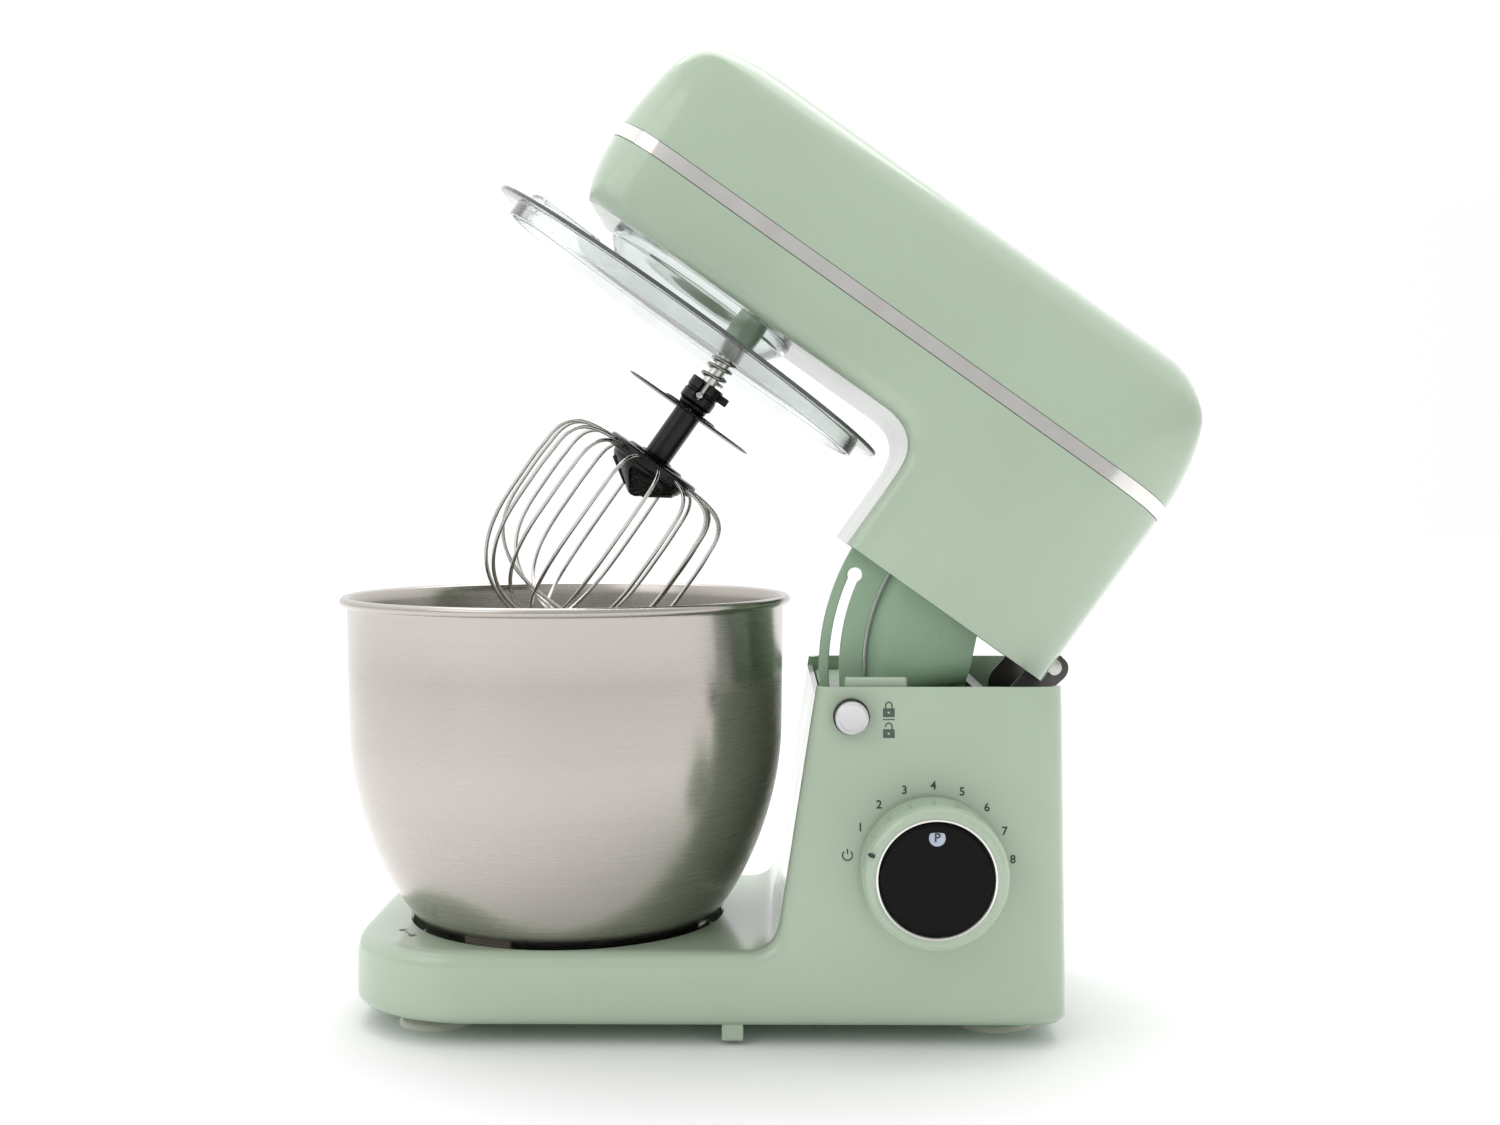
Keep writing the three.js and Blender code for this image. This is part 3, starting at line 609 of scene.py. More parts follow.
def circuit_board():
    material = principled("board", linear(36, 86, 56), 0.4)
    cells = texture(material, "ShaderNodeTexBrick", Scale=60.0)
    tone = mixed(material, ranged(material, cells, 0, 1), linear(22, 60, 40), linear(60, 120, 80))
    feed(material, "Base Color", tone)
    return material


def ink(name, colour):
    """Pad-printed marking."""
    material = principled(name, colour, 0.45)
    varied(material, colour, 0.12, 300.0)
    return material


MINT = linear(175, 193, 171)
MATERIALS = {
    "mint": plastic("mint", MINT, 0.16, coat=0.35),
    # Painted shade: a darker copy of the mint, for the pieces that sit under the head and inside the base
    # where shade falls; it is also rougher and has no coat.
    "mint_inner": plastic("mint_inner", linear(150, 178, 150), 0.3),
    "foot": milky_rubber(),
    "bowl_steel": brushed_steel(),
    "bright_steel": bare_steel("bright_steel", linear(196, 194, 190), 0.2),
    "dark_steel": bare_steel("dark_steel", linear(88, 86, 84), 0.42),
    "spring_steel": bare_steel("spring_steel", linear(170, 168, 165), 0.24),
    "cast": cast_metal(),
    "trim": bare_steel("trim", linear(232, 230, 226), 0.1, 700.0),
    "black": plastic("black", linear(14, 14, 15), 0.28, 0.04, specular=0.3),
    "gloss_black": plastic("gloss_black", linear(5, 5, 6), 0.06, 0.005, specular=0.12),
    "silver": principled("silver", linear(214, 214, 216), 0.34, 0.55),
    "clear": clear_plastic("clear", linear(244, 248, 247), 1.0),
    "clear_edge": clear_plastic("clear_edge", linear(92, 100, 98), 0.4),
    "rubber": rubber(),
    "nylon": plastic("nylon", linear(228, 222, 206), 0.5, 0.06),
    "winding": winding(),
    "board": circuit_board(),
    "print": ink("print", linear(74, 92, 80)),
    "print_dark": ink("print_dark", linear(48, 56, 52)),
    "pale_blue": ink("pale_blue", linear(178, 190, 206)),
}
varied(MATERIALS["silver"], linear(214, 214, 216), 0.03, 90.0)
bumped(MATERIALS["silver"], noise(MATERIALS["silver"], 2400.0), 0.06, 0.0001)


# ---------------------------------------------------------------- base
def base_side():
    front, rear, top, bottom = TRAY["front"], TRAY["rear"], TRAY["top"], TRAY["bottom"]
    foot, fillet = COLUMN["foot"], COLUMN["fillet"]
    lean = (COLUMN["front"] - foot) / (COLUMN["rim"] - top - fillet)
    above = COLUMN["rim"] + 16
    outline = [(rear, bottom), (COLUMN["rear"], above)]
    outline.append((foot + lean * (above - top - fillet), above))
    outline.append((foot, top + fillet))
    outline += quadratic((foot, top + fillet), (foot - 2, top), (foot - fillet, top))
    outline.append((front + 10, top))
    outline += quadratic((front + 10, top), (front, top), (front, top - 12))
    outline.append((front, bottom + 10))
    outline += quadratic((front, bottom + 10), (front, bottom), (front + 6, bottom))
    return outline


BASE_SIDE = base_side()
BASE_LEAN = (TRAY["half_width"] - COLUMN["top_half_width"]) / (COLUMN["rim"] - TRAY["top"])


def base_form(x, y, z):
    """The base in the round: its side view, and a plan whose sides lean in towards the column's top."""
    narrowed = 1 - BASE_LEAN * np.maximum(z - TRAY["top"], 0) / TRAY["half_width"]
    plan = plan_distance(
        x, y / narrowed, TRAY["front"], TRAY["rear"], TRAY["half_width"], TRAY["front_r"], TRAY["rear_r"]
    )
    return held_in_common(7.0, outline_distance(BASE_SIDE, x, z), plan)


def side_y(z):
    """The leaning side wall's outer face, on the side with the controls."""
    return -(TRAY["half_width"] - BASE_LEAN * max(0, z - TRAY["top"]))


def base_housing():
    low = (TRAY["front"] - 6, -TRAY["half_width"] - 6, TRAY["bottom"] - 6)
    high = (TRAY["rear"] + 6, TRAY["half_width"] + 6, COLUMN["rim"] + 24)
    made = moulded("base_shell", base_form, low, high)
    rim, floor = COLUMN["rim"], RECESS_FLOOR
    well = [(0, floor), (RECESS_R - 2, floor), (RECESS_R, floor + 2), (RECESS_R, TRAY["top"] - 1.2)]
    well += [(RECESS_R + 1.4, TRAY["top"] + 0.3), (RECESS_R + 1.4, 60), (0, 60)]
    tools = [
        turned("well", well, x=BOWL_X, sides=128),
        turned("cord_hole", [(0, 0), (6.5, 0), (6.5, 60), (0, 60)], sides=48),
    ]
    tools[-1].data.transform(Matrix.Translation((110, 40, 30)) @ Matrix.Rotation(math.pi / 2, 4, "Y"))
    made = boolean(made, tools)
    sliced(made, (0, 0, rim), (0, 0, 1))
    sliced(made, (0, 0, TRAY["bottom"] + 0.6), (0, 0, -1))
    front_notch = block("front_notch", (-10, -71, 162.3), (32, 71, rim + 40))
    rear_notch = block("rear_notch", (125, -71, 157), (170, 71, rim + 40))
    way = [(0, -95), (8.4, -95), (8.4, -60), (0, -60)]
    button_hole = turned("button_hole", way, BUTTON.x, along_y=BUTTON.z, sides=64)
    made = boolean(thickened(made, WALL), [front_notch, rear_notch, button_hole])
    place(made, "base", "mint", ["base_housing"], sharp=32)


def base_plate():
    edge = WALL + 1.5
    front_r, rear_r = TRAY["front_r"] - edge, TRAY["rear_r"] - edge
    x0, x1, w = TRAY["front"] + 4 + edge, TRAY["rear"] - edge, TRAY["half_width"] - edge
    outline = arc(x1 - rear_r, w - rear_r, rear_r, 0, 90, 10)
    outline += arc(x0 + front_r, w - front_r, front_r, 90, 180)
    outline += arc(x0 + front_r, front_r - w, front_r, 180, 270)
    outline += arc(x1 - rear_r, rear_r - w, rear_r, 270, 360, 10)
    floor = plate("base_floor", [outline], "XY", 11.3, 2.4)
    place(floor, "base", "mint_inner", ["base_plate"])
    screws = []
    for x, y in ((-120, 62), (-120, -62), (20, 66), (20, -66), (124, 58), (124, -58)):
        head = [(0, 9.4), (1.2, 9.4), (1.2, 10.0), (3.2, 9.6), (3.6, 10.3), (0, 10.3)]
        screws.append(turned("screw", head, x=x, y=y, sides=24, ease=(0.2, 3)))
    place(joined("floor_screws", screws), "base", "dark_steel")


def suction_foot(number, x, y):
    under = [(0, 3.5), (12, 2.2), (15, 0), (FOOT_R, 0)]
    over = [(FOOT_R, 0.7), (17.2, 2.6), (13, 4.0), (9.6, 5.4), (8.3, 7.4), (8, FOOT_HEIGHT), (0, FOOT_HEIGHT)]
    made = turned("foot_cup_%d" % number, under + over, x=x, y=y, ease=(0.8, 4))
    place(made, "base", "foot", ["suction_foot_%d" % number], sharp=60)


def feet():
    for number in range(1, 5):
        middle = centre("suction_foot_%d" % number)
        suction_foot(number, middle.x - ZERO, middle.y)


def cable_clip():
    body = block("clip_body", (-20, -82, 2.5), (-10, -78, 10.4), 0.7)
    place(body, "base", "mint", ["cable_clip"])


def cord_gland():
    profile = [(2.8, 134), (9, 134), (9, 138.5), (6, 138.5)]
    for i in range(4):
        start = 139.2 + 3.1 * i
        r = 6 - 0.42 * i
        profile += [(r, start), (r, start + 2), (r - 1.2, start + 2.1), (r - 1.2, start + 3.0)]
    profile += [(3.9, 152), (2.8, 152)]
    made = turned("cord_relief", profile, sides=64, ease=(0.3, 2))
    made.data.transform(Matrix.Translation((0, 40, 30)) @ Matrix.Rotation(math.pi / 2, 4, "Y"))
    place(made, "base", "rubber", ["cord_gland"])


def button_way():
    return turned("button_way", [(0, -80), (9.4, -80), (9.4, -45.5), (0, -45.5)], BUTTON.x, along_y=BUTTON.z)


def column_top():
    top, thickness = PLATE_TOP, 3
    outer = [(27.4, -74.2), (109.8, -74.2), (109.8, 74.2), (27.4, 74.2)]
    opening = [(47.4, -50), (104, -50), (104, 50), (47.4, 50)]
    slot = [(30, -44.5), (47.4, -44.5), (47.4, -35.5), (30, -35.5)]
    joined_way = [slot[0], slot[1], opening[0], opening[1], opening[2], opening[3], slot[2], slot[3]]
    outlines = [eased(outer, 3, 5), eased(joined_way, 1.5, 4)]
    made = plate("column_deck", outlines, "XY", top - thickness / 2, thickness, 0.5)
    place(boolean(made, [button_way()]), "base", "mint_inner", ["column_top_plate"])
    rib = block("deck_rib", (37, -73.5, top - 1), (66, -70.5, top + 11.5), 1.2)
    place(boolean(rib, [button_way()]), "base", "mint")


# ---------------------------------------------------------------- hinge
def hinge():
    pin = [(0, -38.2), (4, -38.2), (4, 38.2), (0, 38.2)]
    pin = turned("pin", pin, HINGE.x, along_y=HINGE.z, sides=48, ease=(0.6, 3))
    place(pin, "base", "bright_steel", ["hinge_pin"])
    ears = []
    outline = [(118, 150), (136.8, 150), (136.8, 159), (147, 168)]
    outline += [(147.6, 174), (141, 179.6), (134, 178), (118, 161)]
    for middle in (-35.5, 35.5):
        ears.append(plate("ear", [eased(outline, 3.5, 5)], "XZ", middle, 3, 0.4))
    ears.append(block("bridge", (113, -37, 147), (136.8, 37, 150.2), 0.5))
    place(joined("hinge_fork", ears), "base", "dark_steel", ["hinge_bracket"])
    spring = coil("tilt_spring", 6, 1.1, -31, -16, 5)
    spring.data.transform(Matrix.Translation((HINGE.x, 0, HINGE.z)) @ Matrix.Rotation(-math.pi / 2, 4, "X"))
    place(spring, "base", "spring_steel", ["hinge_spring"])
    eye = arc(HINGE.x, HINGE.z, 7.5, 180, 360)
    arm = [(147.3, 173.5), (146, 176.5), (138.6, 186), (138.6, 212), (119, 212), (119, 200)]
    knuckle = plate("knuckle", [eye + arm], "XZ", 0, 26, 0.9)
    place(knuckle, "head", "cast", ["tilt_knuckle"])


# ---------------------------------------------------------------- controls
def release_button():
    r, face = 7.7, BUTTON.y
    profile = [(0, face + 0.5), (r - 2.4, face + 0.35), (r - 1.1, face), (r, face + 1), (r, -76), (0, -76)]
    made = turned("lock_button", profile, BUTTON.x, along_y=BUTTON.z, ease=(0.4, 4))
    place(made, "release", "silver", ["release_button"])
    socket = [(7.95, -83.4), (8.35, -83.4), (8.35, -74), (7.95, -74)]
    lining = turned("button_lining", socket, BUTTON.x, along_y=BUTTON.z)
    place(lining, "base", "black")
    spring = coil("push_spring", 3.6, 0.6, 0, 12, 4)
    spring.data.transform(Matrix.Translation(LOCK_PIN) @ Matrix.Rotation(-math.pi / 2, 4, "X"))
    place(spring, "release", "spring_steel", ["button_spring"])


def speed_knob():
    front, back, r = KNOB.y, KNOB_BACK, KNOB_R
    profile = [(5.3, back), (r, back), (r - 0.5, front + 4.2), (r - 1.6, front + 1.6), (r - 3.6, front + 0.1)]
    profile += [(28.6, front), (27.4, front + 0.9), (26.3, front + 1.1), (26.3, front + 6), (3.1, front + 6)]
    profile += [(3.1, back - 12), (5.3, back - 12)]
    dial = turned("dial", profile, KNOB.x, along_y=KNOB.z, sides=128, ease=(0.7, 5))
    place(dial, "knob", "mint", ["speed_knob"], sharp=45)
    shine = [(26.25, front + 0.75), (27.2, front + 0.55), (27.5, front + 1.3), (26.25, front + 1.6)]
    edge = turned("dial_edge", shine, KNOB.x, along_y=KNOB.z, sides=128, ease=(0.2, 3))
    place(edge, "knob", "trim")
    angle = math.radians(159)
    dot = [(0, front - 0.12), (1.3, front - 0.12), (1.5, front + 0.3), (0, front + 0.3)]
    pointer = turned("pointer", dot, 0, along_y=0, sides=32, ease=(0.08, 2))
    stretch = Matrix.Rotation(-angle, 4, "Y") @ Matrix.Diagonal((1.25, 1, 0.72, 1))
    spot = (KNOB.x + 31.3 * math.cos(angle), 0, KNOB.z + 31.3 * math.sin(angle))
    pointer.data.transform(Matrix.Translation(spot) @ stretch)
    place(pointer, "knob", "print_dark")


def pulse_disc():
    front = KNOB.y
    profile = [(0, front + 1.15), (18, front + 1.1), (24.6, front + 1), (25.7, front + 1.7)]
    profile += [(25.7, front + 3.4), (2.5, front + 3.4), (2.5, -64), (0, -64)]
    disc = turned("pulse_disc", profile, KNOB.x, along_y=KNOB.z, sides=128, ease=(0.5, 4))
    place(disc, "pulse", "gloss_black", ["pulse_button"], sharp=50)
    dot_z = KNOB.z + 18.9
    face = front + 1.05
    dot = [(0, face), (3.7, face), (3.8, face + 0.5), (0, face + 0.5)]
    place(turned("pulse_dot", dot, KNOB.x, along_y=dot_z), "pulse", "pale_blue")
    letter = text_mesh("pulse_mark", "P", 5.6, (KNOB.x, face - 0.06, dot_z))
    place(letter, "pulse", "print_dark")


def text_mesh(name, words, size, at):
    """Raised print that faces -Y, centred on a point."""
    curve = bpy.data.curves.new(name, "FONT")
    curve.body = words
    curve.size = size
    curve.align_x = "CENTER"
    curve.align_y = "CENTER"
    curve.extrude = 0.06
    curve.offset = 0.1
    curve.resolution_u = 4
    made = linked(name, curve)
    made.matrix_world = Matrix.Translation(at) @ PLANES["XZ"]
    return settled(made)


def laid_on_side(name, marks):
    """Flat print drawn about y = 0, leaned against the side wall so that it stands just proud of it."""
    made = joined(name, marks)
    for vertex in made.data.vertices:
        vertex.co.y += side_y(vertex.co.z) - 0.05
    return made


def speed_marks():
    """The off sign and the numbers 1 to 8 round the knob."""
    radius = 37.6
    first, spacing = 150.7, 20.7
    marks = []
    for number in range(8):
        angle = math.radians(first - spacing * number)
        x, z = KNOB.x + radius * math.cos(angle), KNOB.z + radius * math.sin(angle)
        marks.append(text_mesh("digit", str(number + 1), 5.4, (x, 0, z)))
    angle = math.radians(first + spacing)
    x, z = KNOB.x + (radius + 1.6) * math.cos(angle), KNOB.z + radius * math.sin(angle)
    opening = 42
    ring = arc(x, z, 2.6, 90 + opening, 450 - opening) + arc(x, z, 2.0, 450 - opening, 90 + opening)
    marks.append(plate("off_ring", [ring], "XZ", 0, 0.12, 0.02))
    bar = [(x - 0.3, z + 0.6), (x + 0.3, z + 0.6), (x + 0.3, z + 3.0), (x - 0.3, z + 3.0)]
    marks.append(plate("off_bar", [bar], "XZ", 0, 0.12, 0.02))
    place(laid_on_side("speed_marks", marks), "base", "print_dark")


def padlock(x, z, size, is_open):
    """A padlock sign: a body with a keyhole, and a shackle that is shut or lifted."""
    low, high = z - size, z + 0.5 * size
    body = eased([(x - size, low), (x + size, low), (x + size, high), (x - size, high)], 0.3)
    keyhole = arc(x, z - 0.25 * size, 0.22 * size, 0, 359, 12)
    pieces = [plate("lock", [body, keyhole], "XZ", 0, 0.12, 0.02)]
    r, lift = 0.66 * size, 0.5 * size
    r_in = r * 0.62
    outer = arc(x, z + lift + 0.5 * size, r, 0, 180)
    inner = arc(x, z + lift + 0.5 * size, r_in, 180, 0)
    left_foot = z + (0.9 * size if is_open else 0.4 * size)
    right_foot = z + 0.4 * size
    outline = [(x + r, right_foot), *outer, (x - r, left_foot)]
    outline += [(x - r_in, left_foot), *inner, (x + r_in, right_foot)]
    pieces.append(plate("shackle", [outline], "XZ", 0, 0.12, 0.02))
    return pieces


def lock_marks():
    x, z, size = 57.2, 152.2, 2.7
    marks = padlock(x, z + 3.6, size, False) + padlock(x, z - 6.0, size, True)
    bar = [(x - size, z - 0.45), (x + size, z - 0.45), (x + size, z + 0.05), (x - size, z + 0.05)]
    marks.append(plate("bar", [bar], "XZ", 0, 0.12, 0.02))
    place(laid_on_side("lock_marks", marks), "base", "print")


def tray_marks():
    """Small signs for turning the bowl open and shut, on the tray beside the recess."""
    marks = []
    radius, half = 87, 1.7
    lock = eased([(-half, -half), (half, -half), (half, half * 0.4), (-half, half * 0.4)], 0.25)
    loop = arc(0, half * 0.5, half * 0.7, 0, 180, 12) + arc(0, half * 0.5, half * 0.42, 180, 0, 12)
    for degrees in (209, 217):
        angle = math.radians(degrees)
        x, y = BOWL_X + radius * math.cos(angle), radius * math.sin(angle)
        turn = angle + math.pi / 2
        for outline in (lock, loop):
            spun = [
                (x + a * math.cos(turn) - b * math.sin(turn), y + a * math.sin(turn) + b * math.cos(turn))
                for a, b in outline
            ]
            marks.append(plate("sign", [spun], "XY", TRAY["top"] + 0.04, 0.12, 0.02))
    for degrees in (211.5, 213, 214.5):
        angle = math.radians(degrees)
        x, y = BOWL_X + radius * math.cos(angle), radius * math.sin(angle)
        marks.append(plate("dash", [arc(x, y, 0.55, 0, 330, 11)], "XY", TRAY["top"] + 0.04, 0.12, 0.02))
    place(joined("bowl_marks", marks), "base", "print")


# ---------------------------------------------------------------- bowl
def bowl_profile():
    """Outside from the middle of the floor to the rolled rim, and back down the inside."""
    wall_bottom = [(0, 31.8), (50, 32), (60, 33.4)]
    side = bezier((60, 33.4), (78, 38), (106, 84), (108.4, 135), 26)
    rim_r, rim_top = BOWL_RIM
    bead_r = 2.3
    bead = arc(rim_r - bead_r, rim_top - bead_r, bead_r, -80, 150, 14)
    outside = wall_bottom + [tuple(p) for p in side] + [(108.9, 170), (108.9, 199.6), (109.4, 200.8)]
    inside = [(107.6, 199), (107.5, 170), (107.1, 136)]
    inner_side = [(r - 1.2, z + 0.5) for r, z in reversed(side[:-1])]
    return outside + bead + inside + inner_side + [(50, 33.3), (0, 33)]


def bowl():
    shell = turned("bowl_skin", bowl_profile(), x=BOWL_X, sides=192)
    place(shell, "bowl", "bowl_steel", ["bowl_shell"], sharp=50)
    skirt = [(67.3, 29.8), (71.6, 29.8), (72, 31), (72, 40.8), (69.6, 38.6), (67.3, 36.8)]
    pieces = [turned("foot_ring", skirt, x=BOWL_X, sides=128, ease=(0.3, 3))]
    for i in range(3):
        middle = 120 * i
        outline = arc(BOWL_X, 0, 76.6, middle - 12, middle + 12, 12)
        outline += arc(BOWL_X, 0, 71, middle + 12, middle - 12, 12)
        pieces.append(plate("lug", [outline], "XY", 32.3, 3.4, 0.4))
    place(joined("bowl_base_ring", pieces), "bowl", "bright_steel", ["bowl_foot"])
    pad = [(62, 28.3), (76.5, 28.3), (76.5, 29.5), (62, 29.5)]
    pad = turned("seat_pad", pad, x=BOWL_X, sides=128, ease=(0.3, 3))
    place(pad, "seat", "rubber", ["seat_ring"])


# ---------------------------------------------------------------- head
def head_side():
    front, rear, top, under = HEAD["front"], HEAD["rear"], HEAD["top"], HEAD["underside"]
    neck, low = HEAD["neck"], HEAD["bottom"] - 20
    outline = [(neck, low), (rear, low), (rear, 256)]
    outline += bezier((rear, 256), (rear, 288), (122, top), (96, top), 24)
    outline.append((-128, top))
    outline += bezier((-128, top), (-158, top), (front + 8, 316), (front + 4, 290), 24)
    outline += quadratic((front + 4, 290), (front, 272), (front, 261))
    outline += quadratic((front, 261), (front + 1, 242), (front + 12, under))
    outline.append((neck - 22, under))
    outline += quadratic((neck - 22, under), (neck, under), (neck, under - 22))
    return outline


def head_end():
    w, low, top = HEAD["half_width"], HEAD["bottom"] - 20, HEAD["top"] + 15
    shoulder = 282
    outline = [(-w + 2, low), (w - 2, low), (w, 240), (w, shoulder)]
    reach = 0.5523
    lifted = shoulder + (top - shoulder) * reach
    outline += bezier((w, shoulder), (w, lifted), (w * reach, top), (0, top), 24)
    outline += bezier((0, top), (-w * reach, top), (-w, lifted), (-w, shoulder), 24)
    outline.append((-w, 240))
    return outline


HEAD_SIDE = head_side()
HEAD_END = head_end()


def head_form(x, y, z):
    plan = plan_distance(x, y, HEAD["front"], HEAD["rear"], HEAD["half_width"], 44, 40)
    return held_in_common(9.0, outline_distance(HEAD_SIDE, x, z), outline_distance(HEAD_END, y, z), plan)


def head_shells():
    low = (HEAD["front"] - 6, -HEAD["half_width"] - 6, HEAD["bottom"] - 8)
    high = (HEAD["rear"] + 6, HEAD["half_width"] + 6, HEAD["top"] + 8)
    floor = HEAD["bottom"] - 6
    whole = moulded("head_whole", lambda x, y, z: np.maximum(head_form(x, y, z), floor - z), low, high)
    upper = copied(whole, "head_cover")
    band = copied(whole, "head_band")
    lower = whole
    lower.name = "head_body"
    gap = 0.3
    sliced(upper, (0, 0, STRIP[1] + gap), (0, 0, -1))
    place(thickened(upper, WALL), "head", "mint", ["head_upper_shell"], sharp=32)
    sliced(band, (0, 0, STRIP[0]), (0, 0, -1))
    sliced(band, (0, 0, STRIP[1]), (0, 0, 1))
    modifier = band.modifiers.new("wall", "SOLIDIFY")
    modifier.thickness = WALL
    modifier.offset = -0.75
    place(settled(band), "head", "trim", ["trim_strip"], sharp=32)
    tools = [turned("drive_way", [(0, 205), (39.5, 205), (39.5, 245), (0, 245)], x=DRIVE_X, sides=128)]
    tools.append(block("hinge_chamber", (112, -38.5, 140), (160, 38.5, 187)))
    for i in range(9):
        z = 194 + 6.2 * i
        tools.append(block("vent_way", (138, -24, z), (160, 24, z + 2.6)))
    lower = boolean(lower, tools)
    sliced(lower, (0, 0, STRIP[0] - gap), (0, 0, 1))
    sliced(lower, (0, 0, HEAD["bottom"]), (0, 0, -1))
    place(thickened(lower, WALL), "head", "mint", ["head_lower_shell"], sharp=32)


def neck_floor():
    """The plate that closes the neck's underside round the guard and the hinge."""
    x0 = HEAD["neck"] + 3
    corner_x, corner_y, r = 102.5, 30, 35
    outer = arc(corner_x, corner_y, r, 16, 90, 14) + [(x0, corner_y + r), (x0, -corner_y - r)]
    outer += arc(corner_x, -corner_y, r, -90, -16, 14) + [(109.4, -39.6), (109.4, 39.6)]
    guard = [(26.2, -50.5), (103, -50.5), (103, 50.5), (26.2, 50.5)]
    made = plate("neck_floor", [outer, eased(guard, 2, 4)], "XY", HEAD["bottom"] + 2.6, 2.4, 0.3)
    place(made, "head", "mint_inner")


def tilt_quadrant():
    q = QUADRANT
    radius = q["slot"]

    def spot(degrees):
        a = math.radians(degrees)
        return HINGE.x + radius * math.cos(a), HINGE.z + radius * math.sin(a)

    hole_r, half = 3.6, q["slot_width"] / 2
    key_end, far_end = 190.4, 225.9
    kx, kz = spot(key_end)
    fx, fz = spot(far_end)
    reach = math.degrees(math.asin(half / hole_r))
    step = math.degrees(math.sqrt(hole_r**2 - half**2) / radius)
    heading = key_end + 90
    slot = arc(HINGE.x, HINGE.z, radius + half, key_end + step, far_end, 30)
    slot += arc(fx, fz, half, far_end, far_end + 180, 12)[1:]
    slot += arc(HINGE.x, HINGE.z, radius - half, far_end, key_end + step, 30)[1:]
    slot += arc(kx, kz, hole_r, heading + reach, heading + 360 - reach, 30)[1:-1]
    fin = sector(q["inner"], q["outer"], 181, 231.6, 40)
    made = plate("lock_quadrant", [fin, slot], "XZ", q["y"], q["thickness"], 0.8)
    place(made, "head", "mint_inner", ["tilt_quadrant"])


def swivel_guard():
    outer, inner, w = GUARD["outer"], GUARD["inner"], GUARD["half_width"]
    side = arc(HINGE.x, HINGE.z, outer, 170, 226, 40) + arc(HINGE.x, HINGE.z, inner - 22, 226, 170, 40)

    def form(x, y, z):
        return held_in_common(13.0, outline_distance(side, x, z), np.abs(y) - w + 0 * x)

    low = (HINGE.x - outer - 6, -w - 6, HINGE.z - outer)
    made = moulded("head_guard", form, low, (HINGE.x - 10, w + 6, HINGE.z + 26), 2.2)
    for degrees, facing in ((183.6, -1), (225.6, 1)):
        a = math.radians(degrees)
        sliced(made, HINGE, (-facing * math.sin(a), 0, facing * math.cos(a)))
    a = math.radians(204)
    inner_cut = inner + 1
    cut_at = HINGE + Vector((inner_cut * math.cos(a), 0, inner_cut * math.sin(a)))
    sliced(made, cut_at, (-math.cos(a), 0, -math.sin(a)))
    place(thickened(made, 2.2), "head", "mint_inner", ["swivel_guard"], sharp=40)


# ---------------------------------------------------------------- lid
def splash_lid():
    z, top, plate_r = LID_Z, LID_Z + LID_THICK, LID_R - 1.1
    profile = [(34, z), (SKIRT_R - 2, z), (SKIRT_R - 2, SKIRT_BOTTOM), (SKIRT_R, SKIRT_BOTTOM), (SKIRT_R, z)]
    profile += [(plate_r, z), (plate_r, top), (34, top)]
    made = turned("lid_plate", profile, x=LID_X, sides=192, ease=(0.35, 3))
    chute = arc(LID_X, 0, 98, 150, 210, 30) + arc(LID_X, 0, 66, 210, 150, 30)
    made = boolean(made, [plate("chute_way", [eased(chute, 3, 4)], "XY", z + 1, 8, 0.1)])
    place(made, "head", "clear", ["splash_lid"])
    bead = [(plate_r, z), (LID_R, z), (LID_R, top), (plate_r, top)]
    place(turned("lid_rim", bead, x=LID_X, sides=192, ease=(0.4, 3)), "head", "clear_edge")
    outer = arc(LID_X, 0, 99.6, 149, 211, 30) + arc(LID_X, 0, 64.4, 211, 149, 30)
    wall = plate("chute_wall", [eased(outer, 3, 4), eased(chute, 3, 4)], "XY", z + 4.4, 5, 0.3)
    place(wall, "head", "clear")


def lid_collar():
    outside = [(43.5, 208.4), *bezier((43.5, 208.4), (45, 214.5), (50, 217), (53, 222), 10), (53, 224.6)]
    inside = [(51.2, 224.6), *bezier((51.2, 223), (47.6, 218), (43.2, 215), (41.5, 208.4), 10)]
    profile = [tuple(p) for p in outside + inside]
    made = turned("lid_funnel", profile, x=COLLAR_X, sides=160)
    place(made, "head", "clear", ["lid_collar"], sharp=50)


# ---------------------------------------------------------------- tool
def planet_disc():
    disc = [(4.3, 226.5), (34, 226.5), (37, 227.3), (37, 230.5), (4.3, 230.5)]
    pieces = [turned("disc", disc, x=DRIVE_X, sides=128, ease=(0.5, 4))]
    boss = [(4.3, 214), (8.5, 214), (8.5, 227), (4.3, 227)]
    pieces.append(turned("boss", boss, x=TOOL_X, sides=64, ease=(0.7, 4)))
    place(joined("planet_disc", pieces), "carrier", "mint", ["planet_carrier"])


def tool_shaft():
    x = TOOL_X
    profile = [(0, 177), (3.4, 177), (4, 177.8), (4, 243), (0, 243)]
    shaft = turned("shaft", profile, x=x, sides=64, ease=(0.3, 3))
    place(shaft, "tool", "bright_steel", ["tool_shaft"])
    profile = [(0, -8.6), (1.8, -8.6), (1.8, 8.6), (0, 8.6)]
    pin = turned("drive_pin", profile, x, along_y=180.5, sides=32, ease=(0.4, 3))
    place(pin, "tool", "bright_steel", ["cross_pin"])
    spring = coil("shaft_spring", 6.1, 0.85, 190.6, 212.2, 5.5)
    spring.data.transform(Matrix.Translation((x, 0, 0)))
    place(spring, "tool", "spring_steel", ["tool_spring"])


